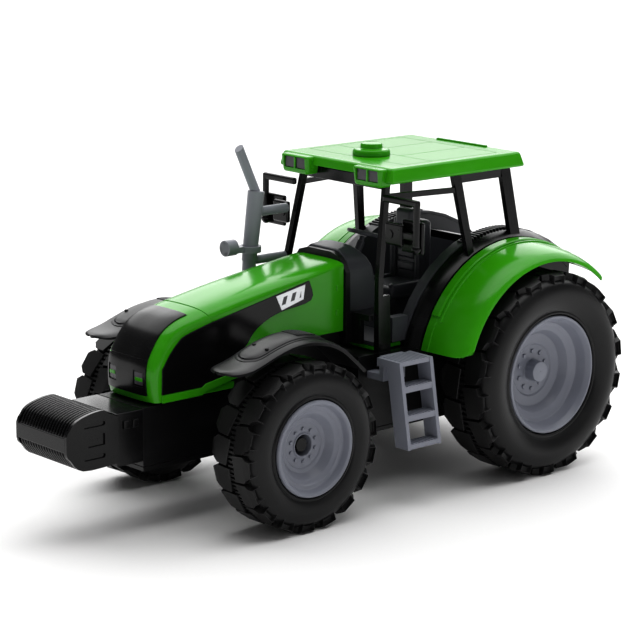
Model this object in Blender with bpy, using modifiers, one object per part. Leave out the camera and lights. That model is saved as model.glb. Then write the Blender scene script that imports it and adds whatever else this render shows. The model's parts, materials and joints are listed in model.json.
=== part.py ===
"""Toy farm tractor, 1:16, as an assembly of separate pieces.

Every number is in millimetres unless its name says otherwise. Places are measured from the point
on the ground under the rear axle: X to the tractor's left, Y towards its back, Z up. One empty
carries all the pieces and puts the middle of the tractor's length at the world's origin.
"""

import math

import bmesh
import bpy
from mathutils import Matrix, Vector

MM = 0.001
GAP = 0.3  # clear space kept between pieces that touch or fit into each other
MERGE = 1e-4  # points nearer than this are one point
FLAT_EDGE = 0.01  # radians between two faces, up to which they are one face
SHARP_EDGE = 0.5  # radians between two faces, from which their edge counts as sharp

# Wheels
REAR_R = 55.0
REAR_OUTER_X = 80.45
REAR_INNER_X = 45.5
REAR_RIM_R = 31.9
FRONT_R = 42.84
FRONT_OUTER_X = 72.4
FRONT_INNER_X = 42.0
FRONT_RIM_R = 24.5
WHEELBASE = 163.5
DISC_X = 62.5
TYRE_STEPS = 36
RIM_STEPS = 24

# Overall length: from the weight block's nose to the back of the rear tyres
NOSE_Y = -275.7
TAIL_Y = REAR_R
SCREW_R = 1.4
SCREW_HEAD_R = 2.8
SCREW_HEAD = 0.9  # a screw head's height, sunk into the base plate
MIDDLE_Y = (NOSE_Y + TAIL_Y) / 2

# Chassis and hood
WALL = 2.0
CHASSIS_W = 18.0
CHASSIS_FRONT_Y = -228.0
CHASSIS_BOTTOM = 34.0
BODY_W = 38.0
BODY_FRONT_Y = -104.0
BODY_REAR_Y = 44.0
BODY_TOP = 73.5
PLATE_Z = (31.6, CHASSIS_BOTTOM - GAP)
WEIGHT_W = 20.87
HOOD_W = 19.5
HOOD_REAR_Y = -98.0
PANEL_DEPTH = 1.2
HOOD_WALL = 1.8

# Cab
SILL_Z = 73.8
ROOF_Z = 161.8
ROOF_TOP = 169.9
ROOF_W = 44.15
ROOF_Y = (-87.9, 11.3)
POST = 3.0

# Friction motor: gear module 1 mm
AXLE_R = 2.0
SHAFT_R = 1.2
MOTOR_AXLE_TEETH = 24
IDLER_PINION_TEETH = 10
IDLER_GEAR_TEETH = 25
FLYWHEEL_PINION_TEETH = 10
IDLER_Y = -(MOTOR_AXLE_TEETH + IDLER_PINION_TEETH) / 2
FLYWHEEL_Y = IDLER_Y - (IDLER_GEAR_TEETH + FLYWHEEL_PINION_TEETH) / 2

FINISHES = {
    # name: base colour, roughness, metallic
    "green": ((0.05, 0.48, 0.02, 1), 0.25, 0.0),
    "black": ((0.012, 0.012, 0.014, 1), 0.4, 0.0),
    "matt_grey": ((0.03, 0.03, 0.033, 1), 0.6, 0.0),
    "cab_grey": ((0.10, 0.105, 0.12, 1), 0.45, 0.0),
    "stack_grey": ((0.16, 0.165, 0.18, 1), 0.45, 0.0),
    "rim_grey": ((0.38, 0.40, 0.44, 1), 0.4, 0.0),
    "tyre": ((0.015, 0.015, 0.016, 1), 0.55, 0.0),
    "silver": ((0.72, 0.73, 0.75, 1), 0.3, 0.6),
    "steel": ((0.55, 0.55, 0.56, 1), 0.3, 1.0),
    "gear_white": ((0.8, 0.79, 0.74, 1), 0.4, 0.0),
    "lens": ((0.03, 0.03, 0.035, 1), 0.2, 0.0),
}


def clear_scene():
    """Removes everything that the new scene holds."""
    for obj in list(bpy.data.objects):
        bpy.data.objects.remove(obj, do_unlink=True)


def finish_material(name):
    """The material of a finish, made the first time it is asked for."""
    material = bpy.data.materials.get(name)
    if material is None:
        colour, roughness, metallic = FINISHES[name]
        material = bpy.data.materials.new(name)
        material.use_nodes = True
        shader = material.node_tree.nodes["Principled BSDF"]
        shader.inputs["Base Color"].default_value = colour
        shader.inputs["Roughness"].default_value = roughness
        shader.inputs["Metallic"].default_value = metallic
    return material


def solid(bm):
    """A mesh datablock, with faces pointing out, from a bmesh in millimetres."""
    bmesh.ops.remove_doubles(bm, verts=bm.verts, dist=MERGE)
    bmesh.ops.recalc_face_normals(bm, faces=bm.faces)
    mesh = bpy.data.meshes.new("shape")
    bm.to_mesh(mesh)
    bm.free()
    return mesh


def box(low, high):
    """A box between two corners."""
    bm = bmesh.new()
    low, high = Vector(low), Vector(high)
    size = Matrix.Diagonal((high - low).to_4d())
    bmesh.ops.create_cube(bm, size=1, matrix=Matrix.Translation((low + high) / 2) @ size)
    return solid(bm)


def bar(foot, head, foot_size, head_size=None, across="Z"):
    """A box between two end rectangles, whose sizes lie on the two axes other than `across`."""
    ends = {-0.5: (foot, foot_size), 0.5: (head, head_size or foot_size)}
    along = "XYZ".index(across)
    others = [axis for axis in range(3) if axis != along]
    bm = bmesh.new()
    bmesh.ops.create_cube(bm, size=1)
    for vert in bm.verts:
        centre, size = ends[round(vert.co[along], 1)]
        place = Vector(centre)
        for axis, width in zip(others, size):
            place[axis] += vert.co[axis] * width
        vert.co = place
    return solid(bm)


def rod(start, end, radius, sides=16, end_radius=None):
    """A round bar between two points, tapered if its end has a radius of its own."""
    start, end = Vector(start), Vector(end)
    turn = Vector((0, 0, 1)).rotation_difference(end - start).to_matrix().to_4x4()
    bm = bmesh.new()
    bmesh.ops.create_cone(
        bm,
        cap_ends=True,
        segments=sides,
        radius1=radius,
        radius2=radius if end_radius is None else end_radius,
        depth=(end - start).length,
        matrix=Matrix.Translation((start + end) / 2) @ turn,
    )
    return solid(bm)


AXES = {
    # what the outline's two coordinates and its thickness run along
    "X": Matrix(((0, 0, 1, 0), (1, 0, 0, 0), (0, 1, 0, 0), (0, 0, 0, 1))),
    "Y": Matrix(((1, 0, 0, 0), (0, 0, -1, 0), (0, 1, 0, 0), (0, 0, 0, 1))),
    "Z": Matrix.Identity(4),
}


def slab(outline, low, high, axis="X"):
    """A flat outline with thickness from low to high.

    Axis X takes (y, z) points, Y takes (x, z) and Z takes (x, y).
    """
    curve = bpy.data.curves.new("outline", "CURVE")
    curve.dimensions = "2D"
    curve.fill_mode = "BOTH"
    curve.extrude = (high - low) / 2
    spline = curve.splines.new("POLY")
    spline.points.add(len(outline) - 1)
    for point, (u, v) in zip(spline.points, outline):
        point.co = (u, v, 0, 1)
    spline.use_cyclic_u = True
    bm = bmesh.new()
    bm.from_mesh(evaluated(curve, "outline"))
    middle = (low + high) / 2 * (-1 if axis == "Y" else 1)
    bmesh.ops.transform(bm, matrix=AXES[axis] @ Matrix.Translation((0, 0, middle)), verts=bm.verts)
    return solid(bm)


def evaluated(data, name, *modifiers):
    """The mesh that Blender makes of a curve or a mesh with its modifiers, (type, settings), applied."""
    helper = bpy.data.objects.new(name, data)
    bpy.context.scene.collection.objects.link(helper)
    for kind, settings in modifiers:
        modifier = helper.modifiers.new(name, kind)
        for setting, value in settings.items():
            setattr(modifier, setting, value)
    graph = bpy.context.evaluated_depsgraph_get()
    mesh = bpy.data.meshes.new_from_object(helper.evaluated_get(graph))
    bpy.data.objects.remove(helper)
    return mesh


def turned(profile, centre, steps, angle=360.0, start=0.0):
    """A closed (x, radius) profile turned about an X axis. Angles run from +Y towards +Z."""
    count = len(profile)
    edges = [(index, (index + 1) % count) for index in range(count)]
    edges = [ends for ends in edges if profile[ends[0]][1] or profile[ends[1]][1]]
    line = bpy.data.meshes.new("profile")
    line.from_pydata([(x, radius, 0) for x, radius in profile], edges, [])
    screw = {
        "axis": "X",
        "angle": math.radians(angle),
        "steps": steps,
        "render_steps": steps,
        "use_merge_vertices": True,
        "merge_threshold": MERGE,
    }
    bm = bmesh.new()
    bm.from_mesh(evaluated(line, "turned", ("SCREW", screw)))
    bmesh.ops.remove_doubles(bm, verts=bm.verts, dist=MERGE)
    bmesh.ops.holes_fill(bm, edges=[edge for edge in bm.edges if edge.is_boundary])
    turn = Matrix.Rotation(math.radians(start), 4, "X")
    bmesh.ops.transform(bm, matrix=Matrix.Translation(centre) @ turn, verts=bm.verts)
    return solid(bm)


def bevelled(mesh, low, high, offset, segments):
    """Rounds the sharp edges whose middles lie in a box on the left side, or in its mirror image."""
    bm = bmesh.new()
    bm.from_mesh(mesh)
    bmesh.ops.dissolve_limit(bm, angle_limit=FLAT_EDGE, verts=bm.verts, edges=bm.edges)
    chosen = []
    for edge in bm.edges:
        x, y, z = (edge.verts[0].co + edge.verts[1].co) / 2
        place = (abs(x), y, z)
        inside = all(a <= b <= c for a, b, c in zip(low, place, high))
        if inside and edge.calc_face_angle(0) > SHARP_EDGE:
            chosen.append(edge)
    bmesh.ops.bevel(
        bm, geom=chosen, offset=offset, segments=segments, profile=0.5, affect="EDGES", material=-1
    )
    return solid(bm)


def combined(operation, first, others):
    """The first mesh with each of the others joined to it, cut from it or kept in common with it."""
    mesh = first
    for other in others:
        tool = bpy.data.objects.new("tool", other)
        bpy.context.scene.collection.objects.link(tool)
        step = {"operation": operation, "object": tool, "solver": "EXACT"}
        mesh = evaluated(mesh, "step", ("BOOLEAN", step))
        bpy.data.objects.remove(tool)
    bm = bmesh.new()
    bm.from_mesh(mesh)
    return solid(bm)


def joined(first, *others):
    """One solid of all the meshes."""
    return combined("UNION", first, others)


def cut(first, *others):
    """The first mesh without the others."""
    return combined("DIFFERENCE", first, others)


def common(first, *others):
    """What the first mesh has in common with the others."""
    return combined("INTERSECT", first, others)


def mirrored(mesh):
    """The same shape on the tractor's right side."""
    bm = bmesh.new()
    bm.from_mesh(mesh)
    bmesh.ops.transform(bm, matrix=Matrix.Scale(-1, 4, (1, 0, 0)), verts=bm.verts)
    return solid(bm)


class Tractor:
    """The collection that holds the pieces, and the empty that they hang from."""

    def __init__(self):
        self.parts = bpy.data.collections.new("toy_tractor")
        bpy.context.scene.collection.children.link(self.parts)
        self.datum = bpy.data.objects.new("rear_axle_datum", None)
        self.datum.location = (0, -MIDDLE_Y * MM, 0)
        self.parts.objects.link(self.datum)

    def add(self, name, mesh, finish, origin=(0, 0, 0), smooth=False):
        """Places a millimetre mesh in the scene, with its own origin where a joint needs it."""
        origin = Vector(origin)
        mesh.transform(Matrix.Scale(MM, 4) @ Matrix.Translation(-origin))
        mesh.name = name
        mesh.materials.clear()
        mesh.materials.append(finish_material(finish))
        if smooth:
            mesh.shade_smooth()
            mesh.set_sharp_from_angle(angle=math.radians(35))
        piece = bpy.data.objects.new(name, mesh)
        piece.location = origin * MM
        piece.parent = self.datum
        self.parts.objects.link(piece)

    def add_pair(self, name, mesh, finish, origin=(0, 0, 0), smooth=False):
        """A left piece and its mirror image on the right."""
        other = mirrored(mesh)
        x, y, z = origin
        self.add(name + "_left", mesh, finish, origin, smooth)
        self.add(name + "_right", other, finish, (-x, y, z), smooth)


def arc(centre, radius, start, end, count):
    """Points on a circle, angles in degrees from the first coordinate towards the second."""
    points = []
    for index in range(count + 1):
        angle = math.radians(start + (end - start) * index / count)
        points.append((centre[0] + radius * math.cos(angle), centre[1] + radius * math.sin(angle)))
    return points


def gear(teeth, centre, low, high, turn=0.0):
    """A spur gear of module 1 with straight-sided teeth. Turn is in tooth pitches."""
    outline = []
    pitch = 2 * math.pi / teeth
    root, tip = teeth / 2 - 1.2, teeth / 2 + 0.9
    flank = ((root, -0.24), (tip, -0.11), (tip, 0.11), (root, 0.24))
    for tooth in range(teeth):
        for radius, share in flank:
            angle = (tooth + turn + share) * pitch
            outline.append((centre[0] + radius * math.cos(angle), centre[1] + radius * math.sin(angle)))
    return slab(outline, low, high)


def build_chassis(tractor):
    """The hollow chassis, the base plate under it with its two screws, and the front axle beam."""
    top_line = [
        (CHASSIS_FRONT_Y, CHASSIS_BOTTOM),
        (-60, CHASSIS_BOTTOM),
        (-60, 82.6),
        (-163, 82.6),
        (-166, 63.6),
        (CHASSIS_FRONT_Y, 63.6),
    ]
    hollow_line = [
        (CHASSIS_FRONT_Y + WALL, 30),
        (-58, 30),
        (-58, 72),
        (-161.5, 72),
        (-164, 61.6),
        (CHASSIS_FRONT_Y + WALL, 61.6),
    ]
    body = box((-BODY_W, BODY_FRONT_Y, CHASSIS_BOTTOM), (BODY_W, BODY_REAR_Y, BODY_TOP))
    inner = box(
        (WALL - BODY_W, BODY_FRONT_Y + WALL, 30), (BODY_W - WALL, BODY_REAR_Y - WALL, BODY_TOP - WALL)
    )
    spine = slab(top_line, -CHASSIS_W, CHASSIS_W)
    spine = cut(spine, box((-30, HOOD_REAR_Y - 1, BODY_TOP), (30, 0, 90)))
    shell = joined(body, spine)
    shell = cut(
        shell,
        inner,
        slab(hollow_line, WALL - CHASSIS_W, CHASSIS_W - WALL),
        box((-60, -171.5, 30), (60, -155.5, 50.5)),
        rod((-60, 0, REAR_R), (60, 0, REAR_R), 2.6),
    )
    tractor.add("chassis_shell", shell, "black")

    plate = joined(
        box((-CHASSIS_W, CHASSIS_FRONT_Y, PLATE_Z[0]), (CHASSIS_W, -90, PLATE_Z[1])),
        box((-BODY_W, BODY_FRONT_Y, PLATE_Z[0]), (BODY_W, BODY_REAR_Y, PLATE_Z[1])),
    )
    screw_places = {"front": (-212, 8), "rear": (36, 14)}
    head_top = PLATE_Z[0] + SCREW_HEAD
    for y, _ in screw_places.values():
        hole = rod((0, y, 28), (0, y, 36), SCREW_R + GAP)
        sink = rod((0, y, 28), (0, y, head_top + GAP), SCREW_HEAD_R + GAP)
        plate = cut(plate, hole, sink)
    tractor.add("base_plate", plate, "black")
    for place, (y, shank) in screw_places.items():
        screw = joined(
            rod((0, y, PLATE_Z[0] + 0.1), (0, y, head_top), SCREW_HEAD_R),
            rod((0, y, head_top - 0.5), (0, y, 31 + shank), SCREW_R, sides=12),
        )
        tractor.add("base_screw_" + place, screw, "steel", smooth=True)

    beam = box((-40.5, -171, 36), (40.5, -156, 50))
    beam = cut(beam, rod((-50, -WHEELBASE, FRONT_R), (50, -WHEELBASE, FRONT_R), 1.9))
    tractor.add("front_axle_beam", beam, "black")


def build_nose(tractor):
    """The bracket in front of the chassis and the weight block on it."""
    bracket = box((-18.7, -244.3, 37), (18.7, CHASSIS_FRONT_Y - GAP, 63.5))
    bracket = cut(bracket, box((-16.7, -250, 39), (16.7, CHASSIS_FRONT_Y - 2, 61.5)))
    tractor.add("nose_bracket", bracket, "black")
    outline = [
        (NOSE_Y, 57.3),
        (NOSE_Y, 49.7),
        (-273.7, 45.5),
        (-266.3, 39.4),
        (-244.7, 39.8),
        (-244.7, 63.6),
        (-250.1, 65.6),
        (-253.5, 67.9),
        (-260.3, 67.5),
        (-268.8, 65.3),
        (-272.9, 62.2),
    ]
    tractor.add("weight_block", slab(outline, -WEIGHT_W, WEIGHT_W), "black")


HOOD_TOP = [
    # the hood's top line at its middle, from the nose's foot to its rear edge
    (-223.3, 64.8),
    (-224.8, 75.0),
    (-224.6, 83.6),
    (-221.4, 90.0),
    (-213.6, 99.8),
    (-205.6, 104.0),
    (-190.0, 107.6),
    (-160.0, 112.8),
    (-125.0, 117.2),
    (HOOD_REAR_Y, 120.2),
]

SIDE_PANEL = [
    (-217.6, 68.6),
    (-217.2, 81.3),
    (-212.4, 88.2),
    (-207.6, 93.3),
    (-202.8, 96.4),
    (-188.3, 100.2),
    (-121.8, 113.2),
    (-120.4, 102.8),
    (-141.5, 99.3),
    (-152.6, 95.5),
    (-159.4, 90.8),
    (-163.2, 86.0),
    (-168.2, 82.6),
    (-170.2, 68.6),
]


def inset_outline(outline, distance):
    """The closed outline moved inwards by a distance, or outwards by a negative one."""
    count = len(outline)
    points = [Vector(point) for point in outline]
    area = sum(points[i].x * points[i - 1].y - points[i - 1].x * points[i].y for i in range(count))
    side = 1 if area > 0 else -1
    moved = []
    for index, point in enumerate(points):
        before = (point - points[index - 1]).normalized()
        after = (points[(index + 1) % count] - point).normalized()
        normal_before = Vector((before.y, -before.x)) * side
        normal_after = Vector((after.y, -after.x)) * side
        middle = (normal_before + normal_after).normalized()
        moved.append(point + middle * distance / max(middle.dot(normal_before), 0.5))
    return [tuple(point) for point in moved]


def build_hood(tractor):
    """The hood shell with its recesses, the nose insert, the side panels and the stickers."""
    outline = HOOD_TOP + [(HOOD_REAR_Y, 83.0), (-166.0, 83.0), (-174.0, 65.4), (-191.0, 64.0)]
    block = slab(outline, -HOOD_W, HOOD_W)
    block = bevelled(block, (HOOD_W - 1, -222, 88), (HOOD_W + 1, HOOD_REAR_Y - 1, 125), 3.5, 3)
    inner_w = HOOD_W - PANEL_DEPTH - HOOD_WALL
    hollow = slab(inset_outline(outline, 3.4), -inner_w, inner_w)
    under = box((0.4 - inner_w, -218.0, 60), (inner_w - 0.4, -90, 90))
    recess = slab(inset_outline(SIDE_PANEL, -GAP), HOOD_W - PANEL_DEPTH, HOOD_W + 5)
    face = HOOD_TOP[1:6]
    deep = [(y + 1.5, z - 1.2) for y, z in reversed(face)]
    proud = [(y - 3.0, z + 3.0) for y, z in face]
    grille_recess = slab(proud + deep, -14.9, 14.9)
    shell = cut(block, under, hollow, recess, mirrored(recess), grille_recess)
    tractor.add("hood_shell", shell, "green", smooth=True)

    outer = [(y - 0.1, z + 0.1) for y, z in face]
    inner = [(y + 1.0, z - 0.8) for y, z in reversed(face)]
    insert = inset_outline(outer + inner, 0.4)
    tractor.add("nose_grille", slab(insert, -14.6, 14.6), "matt_grey")

    tractor.add_pair("side_panel", slab(SIDE_PANEL, HOOD_W - PANEL_DEPTH + GAP, HOOD_W), "black")
    sticker = [(-144.4, 108.0), (-124.8, 111.8), (-126.0, 104.0), (-140.7, 99.9)]
    tractor.add_pair("badge", slab(sticker, HOOD_W + 0.1, HOOD_W + 0.35), "silver")


def build_cab_front(tractor):
    """The frame behind the hood, its two wings beside it, the dash and the green plate under the feet."""
    middle = [
        (-21.6, 76.8),
        (21.6, 76.8),
        (21.0, 114),
        (16, 121.5),
        (9, 123.6),
        (-9, 123.6),
        (-16, 121.5),
        (-21.0, 114),
    ]
    frame = slab(middle, HOOD_REAR_Y + GAP, HOOD_REAR_Y + 3.3, axis="Y")
    wing_line = [(20.2, 76.8), (27.5, 76.8), (27.5, 90), (34.2, 90), (34.2, 93), (20.2, 93)]
    wing = slab(wing_line, -93.4, -90.6, axis="Y")
    cheek = box((19.8, -97.5, 76.9), (21.4, -90.8, 92.9))
    frame = joined(frame, wing, cheek, mirrored(wing), mirrored(cheek))
    tractor.add("firewall_frame", frame, "black")

    side_line = [
        (-94.4, 92),
        (-74.8, 92),
        (-75.6, 108),
        (-77.5, 116),
        (-81.0, 122.6),
        (-85.0, 126.4),
        (-94.4, 124.4),
    ]
    crown = [
        (-19.5, 91),
        (19.5, 91),
        (19.5, 114),
        (17.0, 120),
        (10.0, 125.4),
        (0.0, 127),
        (-10.0, 125.4),
        (-17.0, 120),
        (-19.5, 114),
    ]
    cowl = common(slab(side_line, -25, 25), slab(crown, -100, -70, axis="Y"))
    tractor.add("dash_cowl", cowl, "cab_grey", smooth=True)
    tractor.add("deck_plate", box((-34.2, -90, 74.1), (34.2, -70.5, 76.2)), "green")


def build_cab_tub(tractor):
    """The cab's floor and wheel arch linings in one piece, and the seat on the floor."""
    floor = box((-34, -90.2, 76.5), (34, 35.6, 78.5))
    lining = turned([(29.5, 73.5), (36.0, 73.5), (36.0, 72.0), (29.5, 72.0)], (0, 0, REAR_R), 14, 116, 46)
    wall = slab(
        arc((0, REAR_R), 72.8, 161, 47, 13) + [(49.6, 77.2), (-68.4, 77.2)], 29.9, 31.2
    )
    foot = box((30.3, -78, 76.9), (35.7, -67, 90))
    tub = joined(floor, wall, lining, foot)
    tub = joined(tub, mirrored(wall), mirrored(lining), mirrored(foot))
    rear_wall = box((-30.6, 34, 76.7), (30.6, 36, 110))
    tub = joined(tub, rear_wall)
    tractor.add("cab_tub", tub, "cab_grey")

    seat = joined(
        box((-13, -58, 92), (13, -24, 100)),
        box((-9, -50, 78.5 + GAP), (9, -26, 93)),
        bar((0, -29.5, 97), (0, -27.5, 131), (26, 10), (22, 9)),
        bar((0, -35.0, 128.5), (0, -34.5, 138.5), (13, 8), (11, 7)),
    )
    tractor.add("seat", seat, "cab_grey")


WHEEL_HUB = (0, -66.5, 128.6)
WHEEL_TILT = math.radians(16)


def build_steering(tractor):
    """The steering column and the wheel that turns on its head."""
    hub = Vector(WHEEL_HUB)
    tilt = Matrix.Rotation(-WHEEL_TILT, 4, "X")
    shaft = tilt @ Vector((0, 0, 1))
    head = hub - shaft * 1.6
    column = joined(
        rod((0, -74.2, 112), head - shaft * 2, 2.0, sides=12),
        rod(head - shaft * 3, head, 1.4, sides=12),
    )
    tractor.add("steering_column", column, "cab_grey", smooth=True)
    ring_line = arc((0, 7.7), 1.1, 0, 315, 7)
    ring = turned(ring_line, (0, 0, 0), 24)
    ring.transform(Matrix.Rotation(math.radians(90), 4, "Y"))
    wheel = joined(
        ring,
        rod((0, 0, -1.3), (0, 0, 1.2), 2.6, sides=12),
        box((-7.5, -0.9, -0.6), (7.5, 0.9, 0.6)),
        box((-0.9, -7.5, -0.5), (0.9, 0, 0.5)),
    )
    wheel.transform(Matrix.Translation(hub) @ tilt)
    tractor.add("steering_wheel", wheel, "cab_grey", origin=WHEEL_HUB, smooth=True)


def build_side_frame(tractor):
    """One side of the cab: the arch over the rear wheel, three posts, and the rails that join them."""
    ring = turned(
        [(36.6, 73.1), (40.5, 72.6), (44.6, 69.9), (44.6, 66.0), (41.0, 66.0), (36.6, 69.5)],
        (0, 0, REAR_R),
        16,
        120,
        46,
    )
    wall_line = arc((0, REAR_R), 69.0, 165, 46, 12) + [(46.0, 66), (-68.0, 66)]
    wall = slab(wall_line, 41.0, 44.3)
    sill = box((36.6, -92, 66), (44.3, -62, SILL_Z))
    a_foot = bar((37, -86, 71), (36, -85.9, 103), (3.4, 8.6), (POST, 8.0))
    a_low = bar((36, -88.3, 72), (36, -88.3, 113), (POST, 3.4))
    a_high = bar((36, -88.3, 112.8), (31.6, -80.0, ROOF_Z - GAP), (POST, 3.4))
    b_post = bar((42.6, -29.0, 118), (38.0, -36.4, ROOF_Z - GAP), (POST, 4.5), (POST, 5.5))
    c_post = bar((42.2, 5.9, 120), (37.6, 0.5, ROOF_Z - GAP), (POST, 7.0))
    rail_ab = bar((32.3, -81.5, 153.7), (38.9, -35.5, 153.4), (2.4, 2.8), across="Y")
    rail_bc = bar((38.2, -36.0, 159.0), (37.8, 1.0, 159.0), (2.4, 4.4), across="Y")
    frame = joined(wall, ring, sill, a_foot, a_low, a_high, b_post, c_post, rail_ab, rail_bc)
    cuts = box((30, -106, 60), (BODY_W + GAP, 50, SILL_Z))
    tractor.add_pair("side_frame", cut(frame, cuts), "black")

    roof_frame = joined(
        box((-29.6, -82.0, 157.2), (29.6, -79.0, 163.5)),
        box((-35.6, -1.0, 157.2), (35.6, 2.0, 163.5)),
        box((-27.0, -81.0, 161.8), (-24.0, 1.0, 163.5)),
        box((24.0, -81.0, 161.8), (27.0, 1.0, 163.5)),
    )
    tractor.add("roof_frame", roof_frame, "black")
    tractor.add("rear_crossbar", box((-29.2, 3.5, 115.3), (29.2, 6.5, 119.5)), "black")


def build_roof(tractor):
    """The roof shell with its two lamp pods, their lenses and the beacon."""
    low_y, high_y = ROOF_Y
    plan = [
        (-ROOF_W, low_y + 2),
        (-ROOF_W + 2, low_y),
        (ROOF_W - 2, low_y),
        (ROOF_W, low_y + 2),
        (ROOF_W, high_y - 1.2),
        (ROOF_W - 1.2, high_y),
        (-ROOF_W + 1.2, high_y),
        (-ROOF_W, high_y - 1.2),
    ]
    block = slab(plan, ROOF_Z, ROOF_TOP, axis="Z")
    for vert in block.vertices:
        if vert.co.z > ROOF_Z + 1:
            vert.co.x *= 0.955
            vert.co.y = max(vert.co.y, low_y + 1.5) if vert.co.y < -40 else vert.co.y - 3.0
    block = bevelled(block, (0, low_y, ROOF_TOP - 0.1), (ROOF_W, high_y, ROOF_TOP + 0.1), 1.6, 2)
    hollow = box((-40.5, low_y + 3, ROOF_Z - 5), (40.5, high_y - 5.5, ROOF_TOP - 2.4))
    pods = [
        bar((side * 28.1, -86.4, 159.4), (side * 28.1, -86.6, 169.2), (19.5, 7.8), (22, 9.0))
        for side in (-1, 1)
    ]
    windows = [
        box((side * 28.1 - 8.3, -95, 162.1), (side * 28.1 + 8.3, -88.7, 168.4)) for side in (-1, 1)
    ]
    front_cut = box((-16.5, -95, 150), (16.5, low_y + 3.5, 164.9))
    shell = cut(block, hollow, front_cut)
    shell = cut(joined(shell, *pods), *windows)
    tractor.add("roof_shell", shell, "green", smooth=True)
    lens = joined(
        box((20.1, -89.7, 162.4), (27.9, -89.0, 168.1)),
        box((28.3, -89.7, 162.4), (36.1, -89.0, 168.1)),
        box((21.0, -89.2, 163.4), (35.0, -88.9, 167.1)),
    )
    tractor.add_pair("roof_lamp", lens, "lens")
    beacon = joined(
        rod((0, -61.2, ROOF_TOP + GAP), (0, -61.2, 173.4), 10.0, sides=24, end_radius=9.2),
        rod((0, -61.2, 173.2), (0, -61.2, 176.3), 6.0, sides=20, end_radius=5.2),
    )
    tractor.add("roof_beacon", beacon, "green", smooth=True)


def build_mirrors(tractor):
    """A bracket and a mirror head on each front post."""
    arm = joined(
        box((34.2, -85.8, 151.6), (60.5, -82.6, 155.6)),
        box((57.0, -85.8, 127.5), (60.5, -82.6, 155.6)),
        box((37.9, -87.0, 130.5), (50.5, -84.0, 142.4)),
        box((50.0, -85.8, 134.5), (57.5, -84.0, 138.5)),
    )
    tractor.add_pair("mirror_arm", arm, "black")
    head = box((45.6, -82.2, 127.2), (61.2, -80.0, 144.2))
    tractor.add_pair("mirror_head", head, "black")


STACK = [(-36, -116.0, 100), (-36, -115.0, 116), (-36, -110.4, 151)]
STACK_TIP = (-36, -123.4, 177.2)


def build_exhaust(tractor):
    """The exhaust with its slanted tip, and the filter pod that its clamp holds."""
    low, band, top = (Vector(place) for place in STACK)
    stack = joined(
        rod(low, band, 3.7, sides=16),
        rod(band - Vector((0, 0.3, 2)), top, 4.0, sides=16, end_radius=4.5),
        rod(top - Vector((0, -0.8, 3)), STACK_TIP, 2.6, sides=14),
    )
    slant = box((-9, -20, 0), (9, 20, 20))
    slant.transform(Matrix.Translation(STACK_TIP) @ Matrix.Rotation(math.radians(42), 4, "X")
                    @ Matrix.Translation((0, 0, -2.6)))
    stack = joined(
        cut(stack, slant),
        rod((-36, -111, 139.8), (-36, -89.4, 139.8), 2.6, sides=12),
        rod((-36, -115, 114), (-36, -90.4, 114), 2.4, sides=12),
    )
    tractor.add("exhaust_stack", stack, "stack_grey", smooth=True)
    ring = turned([(-1.7, 5.9), (1.7, 5.9), (1.7, 4.4), (-1.7, 4.4)], (0, 0, 0), 20)
    ring.transform(Matrix.Translation((-36, -114.4, 120.5)) @ Matrix.Rotation(math.radians(90), 4, "Y"))
    pod = joined(
        ring,
        box((-37.5, -126, 119.2), (-34.5, -119.6, 122.4)),
        rod((-36, -132.0, 122.6), (-36, -125.5, 122.6), 4.3, sides=20),
    )
    tractor.add("exhaust_pod", pod, "stack_grey", smooth=True)


def build_ladder(tractor):
    """The ladder leans out at its foot: two side plates, a top plate and two lower treads."""
    front, rear = -102.2, -78.7
    outline = [(66.5, 75.3), (74.0, 31.0), (64.5, 31.0), (57.5, 71.0), (50.0, 71.0), (50.0, 75.3)]
    front_plate = slab(outline, front, front + 2.2, axis="Y")
    rear_plate = slab(outline, rear - 2.2, rear, axis="Y")
    treads = [
        box((50.2, front + 1, 73.0), (66.3, rear - 1, 75.2)),
        box((60.0, front + 1, 59.6), (68.6, rear - 1, 62.6)),
        box((62.8, front + 1, 45.2), (71.2, rear - 1, 48.0)),
        box((65.0, front + 1, 31.1), (73.6, rear - 1, 33.4)),
    ]
    tab = box((BODY_W + GAP, front + 4, 62.0), (50.5, rear - 4, 65.4))
    brace = box((47.5, front + 4, 62.0), (50.5, rear - 4, 75.0))
    ladder = joined(front_plate, rear_plate, *treads, brace, tab)
    tractor.add_pair("ladder", ladder, "rim_grey")


def build_front_fender(tractor):
    """The curved front fender with its raised pad, on a strut from the axle beam."""
    top = [
        (-121.0, 75.0),
        (-128.0, 81.5),
        (-136.0, 88.2),
        (-144.0, 92.2),
        (-152.4, 94.4),
        (-160.0, 95.3),
        (-167.0, 95.0),
        (-174.0, 93.7),
        (-182.1, 91.4),
        (-193.8, 87.4),
        (-202.0, 85.3),
        (-209.0, 84.6),
    ]
    band = slab(inset_band(top, 1.8), 39.0, 63.0)
    plan = arc((51, -193), 12, 180, 360, 10)
    plan = [(x, -193 + (y + 193) * 1.3) for x, y in plan] + [(63.0, -118), (39.0, -118)]
    band = common(band, slab(plan, 60, 120, axis="Z"))
    pad_top = [(y, z + 1.3) for y, z in top[3:11]]
    pad = slab(inset_band(pad_top, 2.0), 41.5, 58.5)
    pad_plan = [(x, y + 10) for x, y in arc((50, -193), 8.5, 180, 360, 8)] + [(58.5, -145), (41.5, -145)]
    pad = common(pad, slab(pad_plan, 60, 120, axis="Z"))
    strut = box((36.5, -167.5, 50.0 + GAP), (39.6, -160, 93.6))
    foot = box((30.0, -167.5, 50.0 + GAP), (39.6, -160, 53.0))
    tractor.add_pair("front_fender", joined(band, pad, strut, foot), "matt_grey", smooth=True)


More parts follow.
